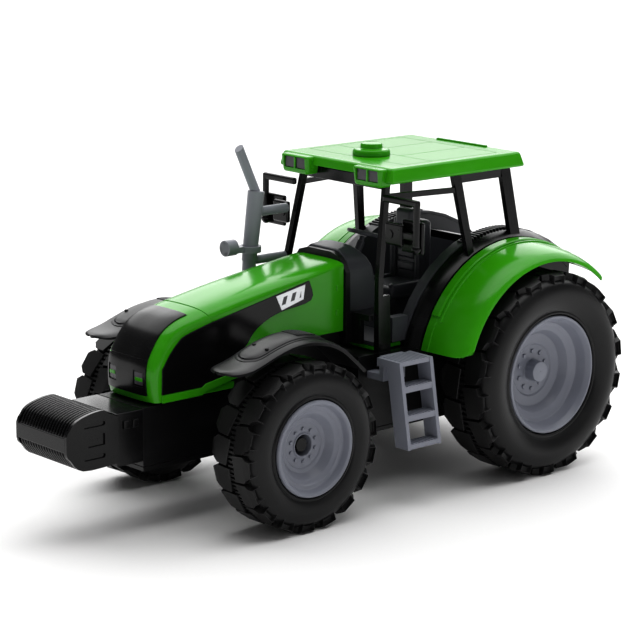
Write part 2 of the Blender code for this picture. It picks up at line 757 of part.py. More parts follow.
def inset_band(top, thickness):
    """A band of constant thickness under an open line that runs from the back to the front."""
    below = []
    for index, (y, z) in enumerate(top):
        before = Vector(top[max(index - 1, 0)])
        after = Vector(top[min(index + 1, len(top) - 1)])
        along = (after - before).normalized()
        below.append((y - along.y * thickness * -1, z + along.x * thickness))
    return list(top) + below[::-1]


def build_rear_fender(tractor):
    """The turned band over the rear wheel."""
    outer = [(44.9, 68.9), (58.0, 67.6), (68.0, 65.8), (73.4, 63.6), (75.0, 60.8)]
    inner = [(73.4, 60.8), (72.2, 62.3), (67.4, 64.2), (57.8, 66.0), (44.9, 67.3)]
    fender = turned(outer + inner, (0, 0, REAR_R), 18, 116.7, 48.5)
    tractor.add_pair("rear_fender", fender, "green", smooth=True)


def build_front_wheels(tractor):
    """The front axle, and the rim, tyre and cap at each end of it."""
    centre = (0, -WHEELBASE, FRONT_R)
    tractor.add("front_axle", rod((-60.4, *centre[1:]), (60.4, *centre[1:]), 1.5), "steel", smooth=True)
    rim = [
        (43.0, 1.9),
        (58.5, 1.9),
        (58.5, 5.4),
        (DISC_X, 5.4),
        (DISC_X, 14.6),
        (67.6, 17.6),
        (68.4, 21.0),
        (72.6, 22.6),
        (72.6, FRONT_RIM_R),
        (70.6, FRONT_RIM_R),
        (70.6, 23.2),
        (43.6, 23.2),
        (43.6, 21.4),
        (60.8, 17.0),
        (60.8, 6.8),
        (43.0, 4.6),
    ]
    tyre = [
        (44.0, 23.5),
        (70.3, 23.5),
        (70.4, 24.8),
        (71.9, 25.0),
        (FRONT_OUTER_X, 31.0),
        (71.6, 38.5),
        (69.0, FRONT_R),
        (45.6, FRONT_R),
        (42.8, 38.5),
        (FRONT_INNER_X, 31.0),
    ]
    cap = [(58.9, 1.8), (60.8, 1.8), (60.8, 0.0), (61.6, 0.0), (61.6, 3.4), (58.9, 3.6)]
    tractor.add_pair("front_rim", turned(rim, centre, RIM_STEPS), "rim_grey", (57, *centre[1:]), True)
    tractor.add_pair("front_tyre", turned(tyre, centre, TYRE_STEPS), "tyre", (57, *centre[1:]), True)
    tractor.add_pair("axle_cap", turned(cap, centre, 16), "black", (60, *centre[1:]), True)


def build_rear_wheels(tractor):
    """The rear axle, and the rim and tyre at each end of it."""
    centre = (0, 0, REAR_R)
    tractor.add("rear_axle", rod((-66, 0, REAR_R), (66, 0, REAR_R), AXLE_R), "steel", centre, True)
    rim = [
        (46.0, 2.3),
        (66.5, 2.3),
        (66.5, 0.0),
        (69.0, 0.0),
        (69.0, 5.0),
        (68.4, 5.6),
        (DISC_X, 5.6),
        (DISC_X, 19.4),
        (68.4, 22.8),
        (69.4, 26.0),
        (74.4, 28.0),
        (77.86, 30.2),
        (77.86, REAR_RIM_R),
        (75.6, REAR_RIM_R),
        (75.6, 30.6),
        (47.4, 30.6),
        (47.4, 28.8),
        (60.6, 22.0),
        (60.6, 7.0),
        (46.0, 5.4),
    ]
    tyre = [
        (47.8, 30.9),
        (75.3, 30.9),
        (75.4, 32.2),
        (77.8, 32.4),
        (80.0, 38.0),
        (REAR_OUTER_X, 45.0),
        (79.4, 51.0),
        (76.4, REAR_R),
        (49.6, REAR_R),
        (46.6, 51.0),
        (REAR_INNER_X, 45.0),
        (46.0, 37.0),
    ]
    tractor.add_pair("rear_rim", turned(rim, centre, RIM_STEPS), "rim_grey", (62, *centre[1:]), True)
    tractor.add_pair("rear_tyre", turned(tyre, centre, TYRE_STEPS), "tyre", (62, *centre[1:]), True)


def build_motor(tractor):
    """The friction motor on the rear axle: rolling the tractor spins the flywheel up."""
    axle, idler, wheel = (0, REAR_R), (IDLER_Y, REAR_R), (FLYWHEEL_Y, REAR_R)
    case = box((-7.0, -52.5, 39.0), (17.0, 16.0, 70.9))
    hollow = box((-5.4, -50.9, 40.6), (20.0, 14.4, 69.3))
    case = cut(case, hollow)
    cover = box((17.3, -52.5, 39.0), (18.9, 16.0, 70.9))
    for name, mesh in (("motor_case", case), ("motor_cover", cover)):
        bores = [rod((-60, 0, REAR_R), (60, 0, REAR_R), AXLE_R + 0.5)] + [
            rod((-60, y, REAR_R), (60, y, REAR_R), SHAFT_R + GAP, sides=12)
            for y in (IDLER_Y, FLYWHEEL_Y)
        ]
        tractor.add(name, cut(mesh, *bores), "gear_white")

    bore = rod((-9, 0, REAR_R), (9, 0, REAR_R), AXLE_R + GAP)
    axle_gear = cut(gear(MOTOR_AXLE_TEETH, axle, -3, 3), bore)
    tractor.add("axle_gear", axle_gear, "gear_white", (0, *axle))
    bore = rod((-9, IDLER_Y, REAR_R), (19, IDLER_Y, REAR_R), SHAFT_R + GAP, sides=12)
    idler_gear = joined(
        gear(IDLER_PINION_TEETH, idler, -3, 4.2, 0.5), gear(IDLER_GEAR_TEETH, idler, 4, 8)
    )
    tractor.add("idler_gear", cut(idler_gear, bore), "gear_white", (0, *idler))
    bore = rod((-9, FLYWHEEL_Y, REAR_R), (19, FLYWHEEL_Y, REAR_R), SHAFT_R + GAP, sides=12)
    flywheel = joined(
        gear(FLYWHEEL_PINION_TEETH, wheel, 3.8, 9.8, 0.0),
        rod((9.6, FLYWHEEL_Y, REAR_R), (15.0, FLYWHEEL_Y, REAR_R), 13.2, sides=32),
    )
    tractor.add("flywheel", cut(flywheel, bore), "steel", (0, *wheel))
    for name, y in (("idler_shaft", IDLER_Y), ("flywheel_shaft", FLYWHEEL_Y)):
        shaft = rod((-6.8, y, REAR_R), (18.7, y, REAR_R), SHAFT_R, sides=12)
        tractor.add(name, shaft, "steel", (0, y, REAR_R), True)


def build_hitch(tractor):
    """The tow hitch: two tongues with a pin hole through both."""
    hitch = joined(
        box((-9, BODY_REAR_Y + GAP, 36), (9, BODY_REAR_Y + 2.3, 52)),
        box((-5, BODY_REAR_Y + 2, 47.5), (5, TAIL_Y - 0.5, 49.7)),
        box((-5, BODY_REAR_Y + 2, 38.5), (5, TAIL_Y - 0.5, 40.7)),
    )
    hole = rod((0, 50.5, 30), (0, 50.5, 60), 1.7, sides=12)
    tractor.add("tow_hitch", cut(hitch, hole), "black")


def main():
    """Builds every group of pieces in order."""
    clear_scene()
    tractor = Tractor()
    for build in (
        build_chassis,
        build_nose,
        build_hood,
        build_cab_front,
        build_cab_tub,
        build_steering,
        build_side_frame,
        build_roof,
        build_mirrors,
        build_exhaust,
        build_ladder,
        build_front_fender,
        build_rear_fender,
        build_front_wheels,
        build_rear_wheels,
        build_motor,
        build_hitch,
    ):
        build(tractor)


main()
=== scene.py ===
"""Fine surfaces, finishes, studio and camera for the toy farm tractor.

Sizes are in millimetres. Places are measured from the point on the ground under the rear axle: X to
the tractor's left, Y towards its back, Z up. The workshop turns them into the frame's own metres.
"""

import json
import logging
import math
from collections.abc import Callable, Sequence
from dataclasses import dataclass
from enum import Enum
from functools import cached_property

import bmesh
import bpy
from mathutils import Matrix, Vector


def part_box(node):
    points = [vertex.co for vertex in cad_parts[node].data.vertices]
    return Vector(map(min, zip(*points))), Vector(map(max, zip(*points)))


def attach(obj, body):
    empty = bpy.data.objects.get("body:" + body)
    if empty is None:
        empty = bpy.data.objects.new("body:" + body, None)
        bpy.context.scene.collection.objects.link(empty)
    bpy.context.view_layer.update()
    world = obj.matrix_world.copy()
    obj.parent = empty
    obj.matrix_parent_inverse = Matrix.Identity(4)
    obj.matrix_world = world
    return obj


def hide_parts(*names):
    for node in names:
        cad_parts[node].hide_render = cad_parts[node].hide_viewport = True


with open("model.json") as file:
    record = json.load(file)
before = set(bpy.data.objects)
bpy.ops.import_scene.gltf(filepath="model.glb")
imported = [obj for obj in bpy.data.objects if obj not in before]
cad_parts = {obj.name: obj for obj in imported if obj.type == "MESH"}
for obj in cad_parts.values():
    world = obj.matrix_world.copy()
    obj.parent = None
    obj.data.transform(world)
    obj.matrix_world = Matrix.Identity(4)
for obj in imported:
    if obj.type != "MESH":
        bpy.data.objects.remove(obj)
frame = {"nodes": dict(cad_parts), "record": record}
log = logging.getLogger("tractor")

MM = 0.001
FLAT = math.radians(1)
WIDE_ROUNDING = 0.8
Point = Sequence[float]


# ---------------------------------------------------------------- shader maths


class Num:
    """A socket in a material's tree that Python's operators work on."""

    def __init__(self, tree: bpy.types.NodeTree, socket: bpy.types.NodeSocket) -> None:
        """Keeps the tree and the socket that holds the value."""
        self.tree = tree
        self.socket = socket

    @classmethod
    def node(
        cls,
        tree: bpy.types.NodeTree,
        kind: str,
        settings: dict[str, object],
        inputs: dict[str | int, object],
        output: str | int = 0,
    ) -> "Num":
        """Adds any node.

        Args:
            tree: The material's tree.
            kind: The node's type.
            settings: Its own settings, set first.
            inputs: Values or other sockets for its inputs, by name or place.
            output: The output that is wanted.

        Returns:
            That output.
        """
        node = tree.nodes.new(kind)
        for name, value in settings.items():
            setattr(node, name, value)
        for name, value in inputs.items():
            if isinstance(value, Num):
                tree.links.new(value.socket, node.inputs[name])
            else:
                node.inputs[name].default_value = value
        return cls(tree, node.outputs[output])

    def maths(self, operation: str, *values: "Num | float", clamp: bool = False) -> "Num":
        """Adds one Math node.

        Args:
            operation: The node's operation.
            values: Its inputs in order, numbers or other sockets.
            clamp: Whether the result stays between 0 and 1.

        Returns:
            The node's result.
        """
        settings = {"operation": operation, "use_clamp": clamp}
        return self.node(self.tree, "ShaderNodeMath", settings, dict(enumerate(values)))

    def __add__(self, other: "Num | float") -> "Num":
        """Self plus other."""
        return self.maths("ADD", self, other)

    def __radd__(self, other: float) -> "Num":
        """Other plus self."""
        return self.maths("ADD", other, self)

    def __sub__(self, other: "Num | float") -> "Num":
        """Self minus other."""
        return self.maths("SUBTRACT", self, other)

    def __rsub__(self, other: float) -> "Num":
        """Other minus self."""
        return self.maths("SUBTRACT", other, self)

    def __mul__(self, other: "Num | float") -> "Num":
        """Self times other."""
        return self.maths("MULTIPLY", self, other)

    def __rmul__(self, other: float) -> "Num":
        """Other times self."""
        return self.maths("MULTIPLY", other, self)

    def __truediv__(self, other: "Num | float") -> "Num":
        """Self over other."""
        return self.maths("DIVIDE", self, other)

    def __pow__(self, other: "Num | float") -> "Num":
        """Self to the power of other."""
        return self.maths("POWER", self, other)

    def __gt__(self, other: "Num | float") -> "Num":
        """1 where self is greater than other, 0 elsewhere."""
        return self.maths("GREATER_THAN", self, other)

    def sine(self) -> "Num":
        """The sine of self, in radians."""
        return self.maths("SINE", self)

    def held(self) -> "Num":
        """Self kept between 0 and 1."""
        return self.maths("ADD", self, 0.0, clamp=True)

    def rise(self, low: float, high: float) -> "Num":
        """A smooth rise from 0 where self is low to 1 where it is high."""
        inputs = {"Value": self, "From Min": low, "From Max": high}
        settings = {"interpolation_type": "SMOOTHSTEP"}
        return self.node(self.tree, "ShaderNodeMapRange", settings, inputs, "Result")


class Recipe:
    """A material's node tree while it is written."""

    def __init__(self, name: str) -> None:
        """Starts a material with one Principled shader.

        Args:
            name: The material's name.
        """
        self.material = bpy.data.materials.new(name)
        self.material.use_nodes = True
        self.tree = self.material.node_tree
        self.shader = self.tree.nodes["Principled BSDF"]
        self.place = self.node("ShaderNodeTexCoord", output="Object")

    def node(
        self,
        kind: str,
        settings: dict[str, object] | None = None,
        inputs: dict[str | int, object] | None = None,
        output: str | int = 0,
    ) -> Num:
        """Adds any node to this material's tree."""
        return Num.node(self.tree, kind, settings or {}, inputs or {}, output)

    def noise(self, scale: float, detail: float = 2.0, place: Num | None = None) -> Num:
        """Soft noise around 0.5, with so many cells to the metre."""
        inputs = {"Vector": place or self.place, "Scale": scale, "Detail": detail}
        return self.node("ShaderNodeTexNoise", {}, inputs)

    def stretched(self, scale: Point) -> Num:
        """The place, stretched along each axis."""
        return self.node("ShaderNodeMapping", {}, {"Vector": self.place, "Scale": scale})

    def blend(self, share: Num | float, first: object, second: object) -> Num:
        """A colour mixed from two, with the share of the second."""
        return self.node(
            "ShaderNodeMix", {"data_type": "RGBA"}, {0: share, 6: first, 7: second}, output=2
        )

    def axis(self, name: str, place: Num | None = None) -> Num:
        """One coordinate of the place."""
        return self.node("ShaderNodeSeparateXYZ", {}, {0: place or self.place}, output=name)

    def radius(self, centre: Point) -> Num:
        """The distance from a line along X.

        Args:
            centre: A point on the line, in metres.

        Returns:
            The distance.
        """
        moved = self.node(
            "ShaderNodeMapping", {}, {"Vector": self.place, "Location": [-c for c in centre]}
        )
        across, up = self.axis("Y", moved), self.axis("Z", moved)
        return (across * across + up * up) ** 0.5

    def edges(self, radius: float) -> Num:
        """A mask of the edges.

        Args:
            radius: How far it reaches from an edge, in metres.

        Returns:
            1 on outer and inner edges, 0 on flat faces.
        """
        soft = self.node("ShaderNodeBevel", {"samples": 4}, {"Radius": radius})
        true = self.node("ShaderNodeNewGeometry", output="Normal")
        agree = self.node(
            "ShaderNodeVectorMath", {"operation": "DOT_PRODUCT"}, {0: soft, 1: true}, output="Value"
        )
        return (1 - agree).rise(0.004, 0.10)

    def bump(self, height: Num, depth: float, strength: float = 1.0) -> Num:
        """A normal bent by a height whose full range is so many metres."""
        return self.node(
            "ShaderNodeBump", {}, {"Height": height, "Distance": depth, "Strength": strength}
        )

    def finish(self, **sockets: object) -> bpy.types.Material:
        """Fills the shader's sockets.

        Args:
            sockets: Values or other sockets, by a socket's name with _ for a space.

        Returns:
            The material.
        """
        for name, value in sockets.items():
            socket = self.shader.inputs[name.replace("_", " ")]
            if isinstance(value, Num):
                self.tree.links.new(value.socket, socket)
            else:
                socket.default_value = value
        return self.material


# -------------------------------------------------------------------- finishes


@dataclass(frozen=True)
class Plastic:
    """Injection-moulded plastic: flow marks, fine grain, and edges rubbed paler."""

    name: str
    slot: str
    colour: Point
    roughness: float
    grain: float = 0.02
    grain_scale: float = 2600.0
    tint: float = 0.12
    worn: Point = (0.5, 0.5, 0.5)
    wear: float = 0.2
    coat: float = 0.0
    shine: float = 0.28

    def make(self) -> bpy.types.Material:
        """Builds the material.

        Returns:
            The material.
        """
        recipe = Recipe(self.name)
        cloudy = recipe.noise(17, 3)
        flow = recipe.noise(60, 4, recipe.stretched((1.0, 0.35, 1.6)))
        fine = recipe.noise(self.grain_scale, 2)
        scuffs = recipe.noise(420, 3, recipe.stretched((1.0, 6.0, 1.0))).rise(0.66, 0.74)
        edge = recipe.edges(0.0003)
        deeper = [part * (1 - self.tint) for part in self.colour[:3]] + [1.0]
        colour = recipe.blend(cloudy.rise(0.35, 0.65), (*self.colour, 1.0), deeper)
        dust = (flow.rise(0.5, 0.72) * 0.05).held()
        colour = recipe.blend(dust, colour, (*self.worn, 1.0))
        colour = recipe.blend(edge * self.wear, colour, (*self.worn, 1.0))
        rough = self.roughness + (cloudy - 0.5) * 0.10 + (flow - 0.5) * 0.06
        rough = (rough + scuffs * 0.07 + edge * 0.12).held()
        height = fine + flow * 0.6 - scuffs * 0.2
        return recipe.finish(
            Base_Color=colour,
            Roughness=rough,
            Normal=recipe.bump(height, self.grain * MM, 0.6),
            Coat_Weight=self.coat,
            Coat_Roughness=0.08,
            Specular_IOR_Level=self.shine,
        )


@dataclass(frozen=True)
class Vinyl:
    """A soft vinyl tyre: fine moulding rings on its wall, paler dust where the tread is worn."""

    name: str
    slot: str
    centre: Point
    radius: float

    def make(self) -> bpy.types.Material:
        """Builds the material.

        Returns:
            The material.
        """
        recipe = Recipe(self.name)
        out = recipe.radius(self.centre)
        cloudy = recipe.noise(30, 4)
        fine = recipe.noise(2200, 3)
        rings = (out * 5200.0).sine() * 0.5 + 0.5
        wall = 1 - out.rise(self.radius * 0.86, self.radius * 0.93)
        tread = out.rise(self.radius - 0.0026, self.radius - 0.0004)
        edge = recipe.edges(0.0006)
        fresh, faded = (0.006, 0.006, 0.0065, 1), (0.010, 0.010, 0.0105, 1)
        colour = recipe.blend(cloudy.rise(0.3, 0.7), fresh, faded)
        colour = recipe.blend(tread * (cloudy * 0.20), colour, (0.06, 0.058, 0.056, 1))
        colour = recipe.blend(edge * 0.12, colour, (0.10, 0.10, 0.105, 1))
        rough = (0.30 + cloudy * 0.10 + tread * 0.10 + (fine - 0.5) * 0.1).held()
        height = fine * 0.6 + rings * wall * 0.25
        return recipe.finish(
            Base_Color=colour,
            Roughness=rough,
            Normal=recipe.bump(height, 0.00005, 0.7),
            Specular_IOR_Level=0.26,
        )


@dataclass(frozen=True)
class Steel:
    """Drawn steel wire or bar, with fine lines along X and a few darker spots."""

    name: str
    slot: str
    colour: Point = (0.52, 0.52, 0.53)

    def make(self) -> bpy.types.Material:
        """Builds the material.

        Returns:
            The material.
        """
        recipe = Recipe(self.name)
        lines = recipe.noise(900, 4, recipe.stretched((0.06, 1.0, 1.0)))
        spots = recipe.noise(260, 3).rise(0.62, 0.75)
        edge = recipe.edges(0.0003)
        colour = recipe.blend(lines, (*self.colour, 1.0), (*[c * 0.72 for c in self.colour], 1.0))
        colour = recipe.blend(spots * 0.35, colour, (0.20, 0.19, 0.18, 1.0))
        rough = (0.24 + lines * 0.16 + spots * 0.18 - edge * 0.06).held()
        return recipe.finish(
            Base_Color=colour,
            Metallic=1.0,
            Roughness=rough,
            Normal=recipe.bump(lines, 0.00002, 0.5),
        )


@dataclass(frozen=True)
class Foil:
    """A printed silver sticker: three plain slanted dark bars inside a small rectangle."""

    name: str
    slot: str
    middle: Point
    slope: float = 0.2

    def make(self) -> bpy.types.Material:
        """Builds the material.

        Returns:
            The material.
        """
        recipe = Recipe(self.name)
        along = recipe.axis("Y") - self.middle[1]
        up = recipe.axis("Z") - self.middle[2] - along * self.slope
        leaning = along - up * 0.35
        grain = recipe.noise(1500, 3, recipe.stretched((1.0, 0.05, 1.0)))
        cloudy = recipe.noise(90, 3)
        bars = (leaning * 1050.0).sine().rise(0.05, 0.25)
        inside = (1 - (along * along).rise(0.0065**2, 0.0068**2)) * (
            1 - (up * up).rise(0.0019**2, 0.0021**2)
        )
        print_mask = bars * inside
        silver = recipe.blend(grain, (0.62, 0.64, 0.67, 1), (0.80, 0.81, 0.83, 1))
        colour = recipe.blend(print_mask, silver, (0.03, 0.03, 0.035, 1))
        metal = (0.75 - print_mask * 0.75).held()
        rough = (0.26 + cloudy * 0.12 + print_mask * 0.1).held()
        return recipe.finish(
            Base_Color=colour,
            Metallic=metal,
            Roughness=rough,
            Normal=recipe.bump(grain + print_mask * 0.4, 0.00002, 0.5),
            Coat_Weight=0.3,
        )


@dataclass(frozen=True)
class Lens:
    """A dark glossy lamp insert with fine upright ribs."""

    name: str
    slot: str

    def make(self) -> bpy.types.Material:
        """Builds the material.

        Returns:
            The material.
        """
        recipe = Recipe(self.name)
        ribs = (recipe.axis("X") * 7000.0).sine() * 0.5 + 0.5
        cloudy = recipe.noise(120, 3)
        colour = recipe.blend(ribs, (0.030, 0.028, 0.036, 1), (0.055, 0.050, 0.062, 1))
        rough = (0.22 + cloudy * 0.15).held()
        return recipe.finish(
            Base_Color=colour,
            Roughness=rough,
            Normal=recipe.bump(ribs + cloudy * 0.3, 0.00005, 0.6),
        )


@dataclass(frozen=True)
class Paper:
    """The studio's seamless pale floor."""

    name: str
    slot: str = ""

    def make(self) -> bpy.types.Material:
        """Builds the material.

        Returns:
            The material.
        """
        recipe = Recipe(self.name)
        fibre = recipe.noise(500, 3)
        colour = recipe.blend(fibre, (0.93, 0.925, 0.92, 1), (0.96, 0.957, 0.955, 1))
        return recipe.finish(
            Base_Color=colour,
            Roughness=0.85,
            Specular_IOR_Level=0.1,
            Normal=recipe.bump(fibre, 0.00002, 0.2),
        )


Finish = Plastic | Vinyl | Steel | Foil | Lens | Paper

GREEN = Plastic(
    name="green_gloss",
    slot="green_gloss",
    colour=(0.045, 0.35, 0.006),
    roughness=0.17,
    grain=0.006,
    grain_scale=1400,
    tint=0.10,
    worn=(0.20, 0.62, 0.14),
    wear=0.25,
)
BLACK = Plastic(
    name="black_satin",
    slot="black_satin",
    colour=(0.006, 0.006, 0.0065),
    roughness=0.34,
    grain=0.02,
    grain_scale=2400,
    tint=0.25,
    worn=(0.10, 0.10, 0.11),
    wear=0.12,
)
BLACK_GLOSS = Plastic(
    name="black_gloss",
    slot="black_satin",
    colour=(0.005, 0.005, 0.0055),
    roughness=0.22,
    grain=0.008,
    grain_scale=1500,
    tint=0.25,
    worn=(0.09, 0.09, 0.10),
    wear=0.12,
)
MATT = Plastic(
    name="fender_grey",
    slot="matt_grey",
    colour=(0.010, 0.010, 0.011),
    roughness=0.36,
    grain=0.04,
    grain_scale=2000,
    tint=0.2,
    worn=(0.12, 0.12, 0.13),
    wear=0.22,
)
CAB = Plastic(
    name="cab_grey",
    slot="cab_grey",
    colour=(0.050, 0.052, 0.060),
    roughness=0.36,
    grain=0.03,
    grain_scale=2200,
    tint=0.14,
    worn=(0.16, 0.165, 0.18),
    wear=0.25,
)
STACK = Plastic(
    name="stack_grey",
    slot="stack_grey",
    colour=(0.27, 0.28, 0.315),
    roughness=0.34,
    grain=0.02,
    grain_scale=2200,
    tint=0.12,
    worn=(0.24, 0.25, 0.27),
    wear=0.25,
)
RIM = Plastic(
    name="rim_grey",
    slot="rim_grey",
    colour=(0.24, 0.25, 0.295),
    roughness=0.30,
    grain=0.015,
    grain_scale=2200,
    tint=0.10,
    worn=(0.42, 0.44, 0.49),
    wear=0.30,
)
GEAR = Plastic(
    name="gear_white",
    slot="gear_white",
    colour=(0.76, 0.74, 0.69),
    roughness=0.38,
    grain=0.02,
    grain_scale=1800,
    tint=0.10,
    worn=(0.85, 0.84, 0.80),
    wear=0.3,
)
STEEL = Steel("drawn_steel", "steel")
LENS = Lens("lamp_lens", "lamp_lens")
FLOOR = Paper("studio_paper")


# ---------------------------------------------------------------------- shapes


class Axis(Enum):
    """What an outline's two coordinates and its thickness run along."""

    X = "yz"
    Y = "xz"
    Z = "xy"

    def place(self, u: float, v: float, w: float) -> Vector:
        """The point that is u and v on the outline's plane and w along the thickness."""
        places = {Axis.X: (w, u, v), Axis.Y: (u, w, v), Axis.Z: (u, v, w)}
        return Vector(places[self])


class Shape:
    """A bmesh in millimetres, and the steps that form it."""

    def __init__(self, bm: bmesh.types.BMesh | None = None) -> None:
        """Starts empty, or around a bmesh."""
        self.bm = bm or bmesh.new()

    @classmethod
    def box(cls, low: Point, high: Point) -> "Shape":
        """A box between two corners.

        Args:
            low: Its corner with the lowest coordinates.
            high: Its opposite corner.

        Returns:
            The box.
        """
        low, high = Vector(low), Vector(high)
        size = Matrix.Diagonal((high - low).to_4d())
        shape = cls()
        bmesh.ops.create_cube(shape.bm, size=1, matrix=Matrix.Translation((low + high) / 2) @ size)
        return shape

    @classmethod
    def rod(
        cls,
        start: Point,
        end: Point,
        radius: float,
        end_radius: float | None = None,
        sides: int = 32,
    ) -> "Shape":
        """A round bar between two points.

        Args:
            start: The middle of its first end.
            end: The middle of its other end.
            radius: Its radius at the start.
            end_radius: Its radius at the end, if another.
            sides: How many sides it has.

        Returns:
            The bar, with both ends closed.
        """
        start, end = Vector(start), Vector(end)
        turn = Vector((0, 0, 1)).rotation_difference(end - start).to_matrix().to_4x4()
        shape = cls()
        bmesh.ops.create_cone(
            shape.bm,
            cap_ends=True,
            segments=sides,
            radius1=radius,
            radius2=radius if end_radius is None else end_radius,
            depth=(end - start).length,
            matrix=Matrix.Translation((start + end) / 2) @ turn,
        )
        return shape

    @classmethod
    def ball(cls, centre: Point, radius: float, flat: float = 1.0) -> "Shape":
        """A small dome or ball.

        Args:
            centre: Its middle.
            radius: Its radius across.
            flat: Its height over its width.

        Returns:
            The ball.
        """
        shape = cls()
        size = Matrix.Translation(centre) @ Matrix.Diagonal((radius, radius, radius * flat, 1))
        bmesh.ops.create_uvsphere(shape.bm, u_segments=20, v_segments=12, radius=1, matrix=size)
        return shape

    @classmethod
    def plate(
        cls, outline: Sequence[Point], low: float, high: float, axis: Axis = Axis.X
    ) -> "Shape":
        """A flat outline with thickness.

        Args:
            outline: Its corners in order.
            low: Where its thickness starts along the axis.
            high: Where it ends.
            axis: What the thickness runs along.

        Returns:
            The plate.
        """
        shape = cls()
        face = shape.bm.faces.new([shape.bm.verts.new(axis.place(u, v, low)) for u, v in outline])
        made = bmesh.ops.extrude_face_region(shape.bm, geom=[face])["geom"]
        tops = [item for item in made if isinstance(item, bmesh.types.BMVert)]
        bmesh.ops.translate(shape.bm, verts=tops, vec=axis.place(0, 0, high - low))
        return shape.outward()

    @classmethod
    def turned(cls, profile: Sequence[Point], centre: Point, steps: int = 96) -> "Shape":
        """A profile turned all round a line along X.

        Args:
            profile: Its closed (x, radius) points.
            centre: A point on the line.
            steps: How many steps the turn has.

        Returns:
            The turned body.
        """
        shape = cls()
        verts = [shape.bm.verts.new((x, radius, 0)) for x, radius in profile]
        edges = [shape.bm.edges.new(pair) for pair in zip(verts, verts[1:] + verts[:1])]
        bmesh.ops.spin(
            shape.bm,
            geom=verts + edges,
            axis=(1, 0, 0),
            cent=(0, 0, 0),
            angle=2 * math.pi,
            steps=steps,
            use_merge=True,
        )
        return shape.outward().moved(Matrix.Translation(centre))

    @classmethod
    def lattice(
        cls, columns: int, rows: int, place: Callable[[int, int], Point], wall: float
    ) -> "Shape":
        """A curved sheet on a grid of points.

        Args:
            columns: How many points it has across.
            rows: How many points it has along.
            place: Gives the point of its outer face at a column and a row.
            wall: Its thickness, which goes inwards.

        Returns:
            The sheet as one closed body.
        """
        shape = cls()
        bmesh.ops.create_grid(shape.bm, x_segments=columns - 1, y_segments=rows - 1, size=0.5)
        for vert in shape.bm.verts:
            column = round((vert.co.x + 0.5) * (columns - 1))
            row = round((vert.co.y + 0.5) * (rows - 1))
            vert.co = place(column, row)
        shape.bm.normal_update()
        bmesh.ops.solidify(shape.bm, geom=shape.bm.faces[:], thickness=wall)
        return shape.outward()

    @classmethod
    def of_node(cls, node: str, to_frame: Matrix) -> "Shape":
        """A merged copy of a CAD node's mesh, in millimetres.

        Args:
            node: The node's name.
            to_frame: What takes millimetres to the frame's metres.

        Returns:
            The copy.
        """
        shape = cls()
        shape.bm.from_mesh(frame["nodes"][node].data)
        bmesh.ops.transform(shape.bm, matrix=to_frame.inverted(), verts=shape.bm.verts)
        bmesh.ops.remove_doubles(shape.bm, verts=shape.bm.verts, dist=0.002)
        return shape

    def outward(self) -> "Shape":
        """Merges its doubles and turns its faces outwards."""
        bmesh.ops.remove_doubles(self.bm, verts=self.bm.verts, dist=1e-4)
        bmesh.ops.recalc_face_normals(self.bm, faces=self.bm.faces)
        return self

    def rounded(self, width: float, segments: int = 2, angle: float = 30.0) -> "Shape":
        """Rounds its sharp edges.

        Args:
            width: The width of the rounding.
            segments: How many segments it has.
            angle: The angle in degrees over which an edge is sharp.

        Returns:
            The same shape.
        """
        bmesh.ops.dissolve_limit(
            self.bm, angle_limit=FLAT, verts=self.bm.verts, edges=self.bm.edges
        )
        sharp = math.radians(angle)
        edges = [e for e in self.bm.edges if e.is_manifold and e.calc_face_angle(0) > sharp]
        bmesh.ops.bevel(
            self.bm,
            geom=edges,
            offset=width,
            segments=segments,
            profile=0.5,
            affect="EDGES",
            clamp_overlap=True,
            material=-1,
        )
        return self

    def moved(self, matrix: Matrix) -> "Shape":
        """Moves or turns it."""
        bmesh.ops.transform(self.bm, matrix=matrix, verts=self.bm.verts)
        return self

    def copied(self) -> "Shape":
        """Another shape like it."""
        return Shape(self.bm.copy())

    def mirrored(self) -> "Shape":
        """Its mirror image on the tractor's other side, as another shape."""
        other = self.copied().moved(Matrix.Scale(-1, 4, (1, 0, 0)))
        bmesh.ops.reverse_faces(other.bm, faces=other.bm.faces)
        return other

    def with_also(self, *others: "Shape") -> "Shape":
        """Takes other shapes into the same piece.

        Args:
            others: The shapes, which are used up.

        Returns:
            The same shape.
        """
        for other in others:
            mesh = other.mesh("also")
            self.bm.from_mesh(mesh)
            bpy.data.meshes.remove(mesh)
        return self

    def mesh(self, name: str) -> bpy.types.Mesh:
        """A mesh datablock of it, which uses it up.

        Args:
            name: The mesh's name.

        Returns:
            The mesh.
        """
        mesh = bpy.data.meshes.new(name)
        self.bm.to_mesh(mesh)
        self.bm.free()
        return mesh

    def carved(self, *cutters: "Shape") -> "Shape":
        """Cuts other shapes out of it.

        Args:
            cutters: The shapes, which are used up.

        Returns:
            The same shape.
        """
        tool_shape = Shape().with_also(*cutters)
        base = bpy.data.objects.new("carved", self.mesh("carved"))
        tool = bpy.data.objects.new("cutter", tool_shape.mesh("cutter"))
        for obj in (base, tool):
            bpy.context.scene.collection.objects.link(obj)
        step = base.modifiers.new("carve", "BOOLEAN")
        step.operation = "DIFFERENCE"
        step.object = tool
        step.use_self = True
        graph = bpy.context.evaluated_depsgraph_get()
        self.bm = bmesh.new()
        self.bm.from_mesh(base.evaluated_get(graph).to_mesh())
        for obj in (base, tool):
            mesh = obj.data
            bpy.data.objects.remove(obj)
            bpy.data.meshes.remove(mesh)
        return self


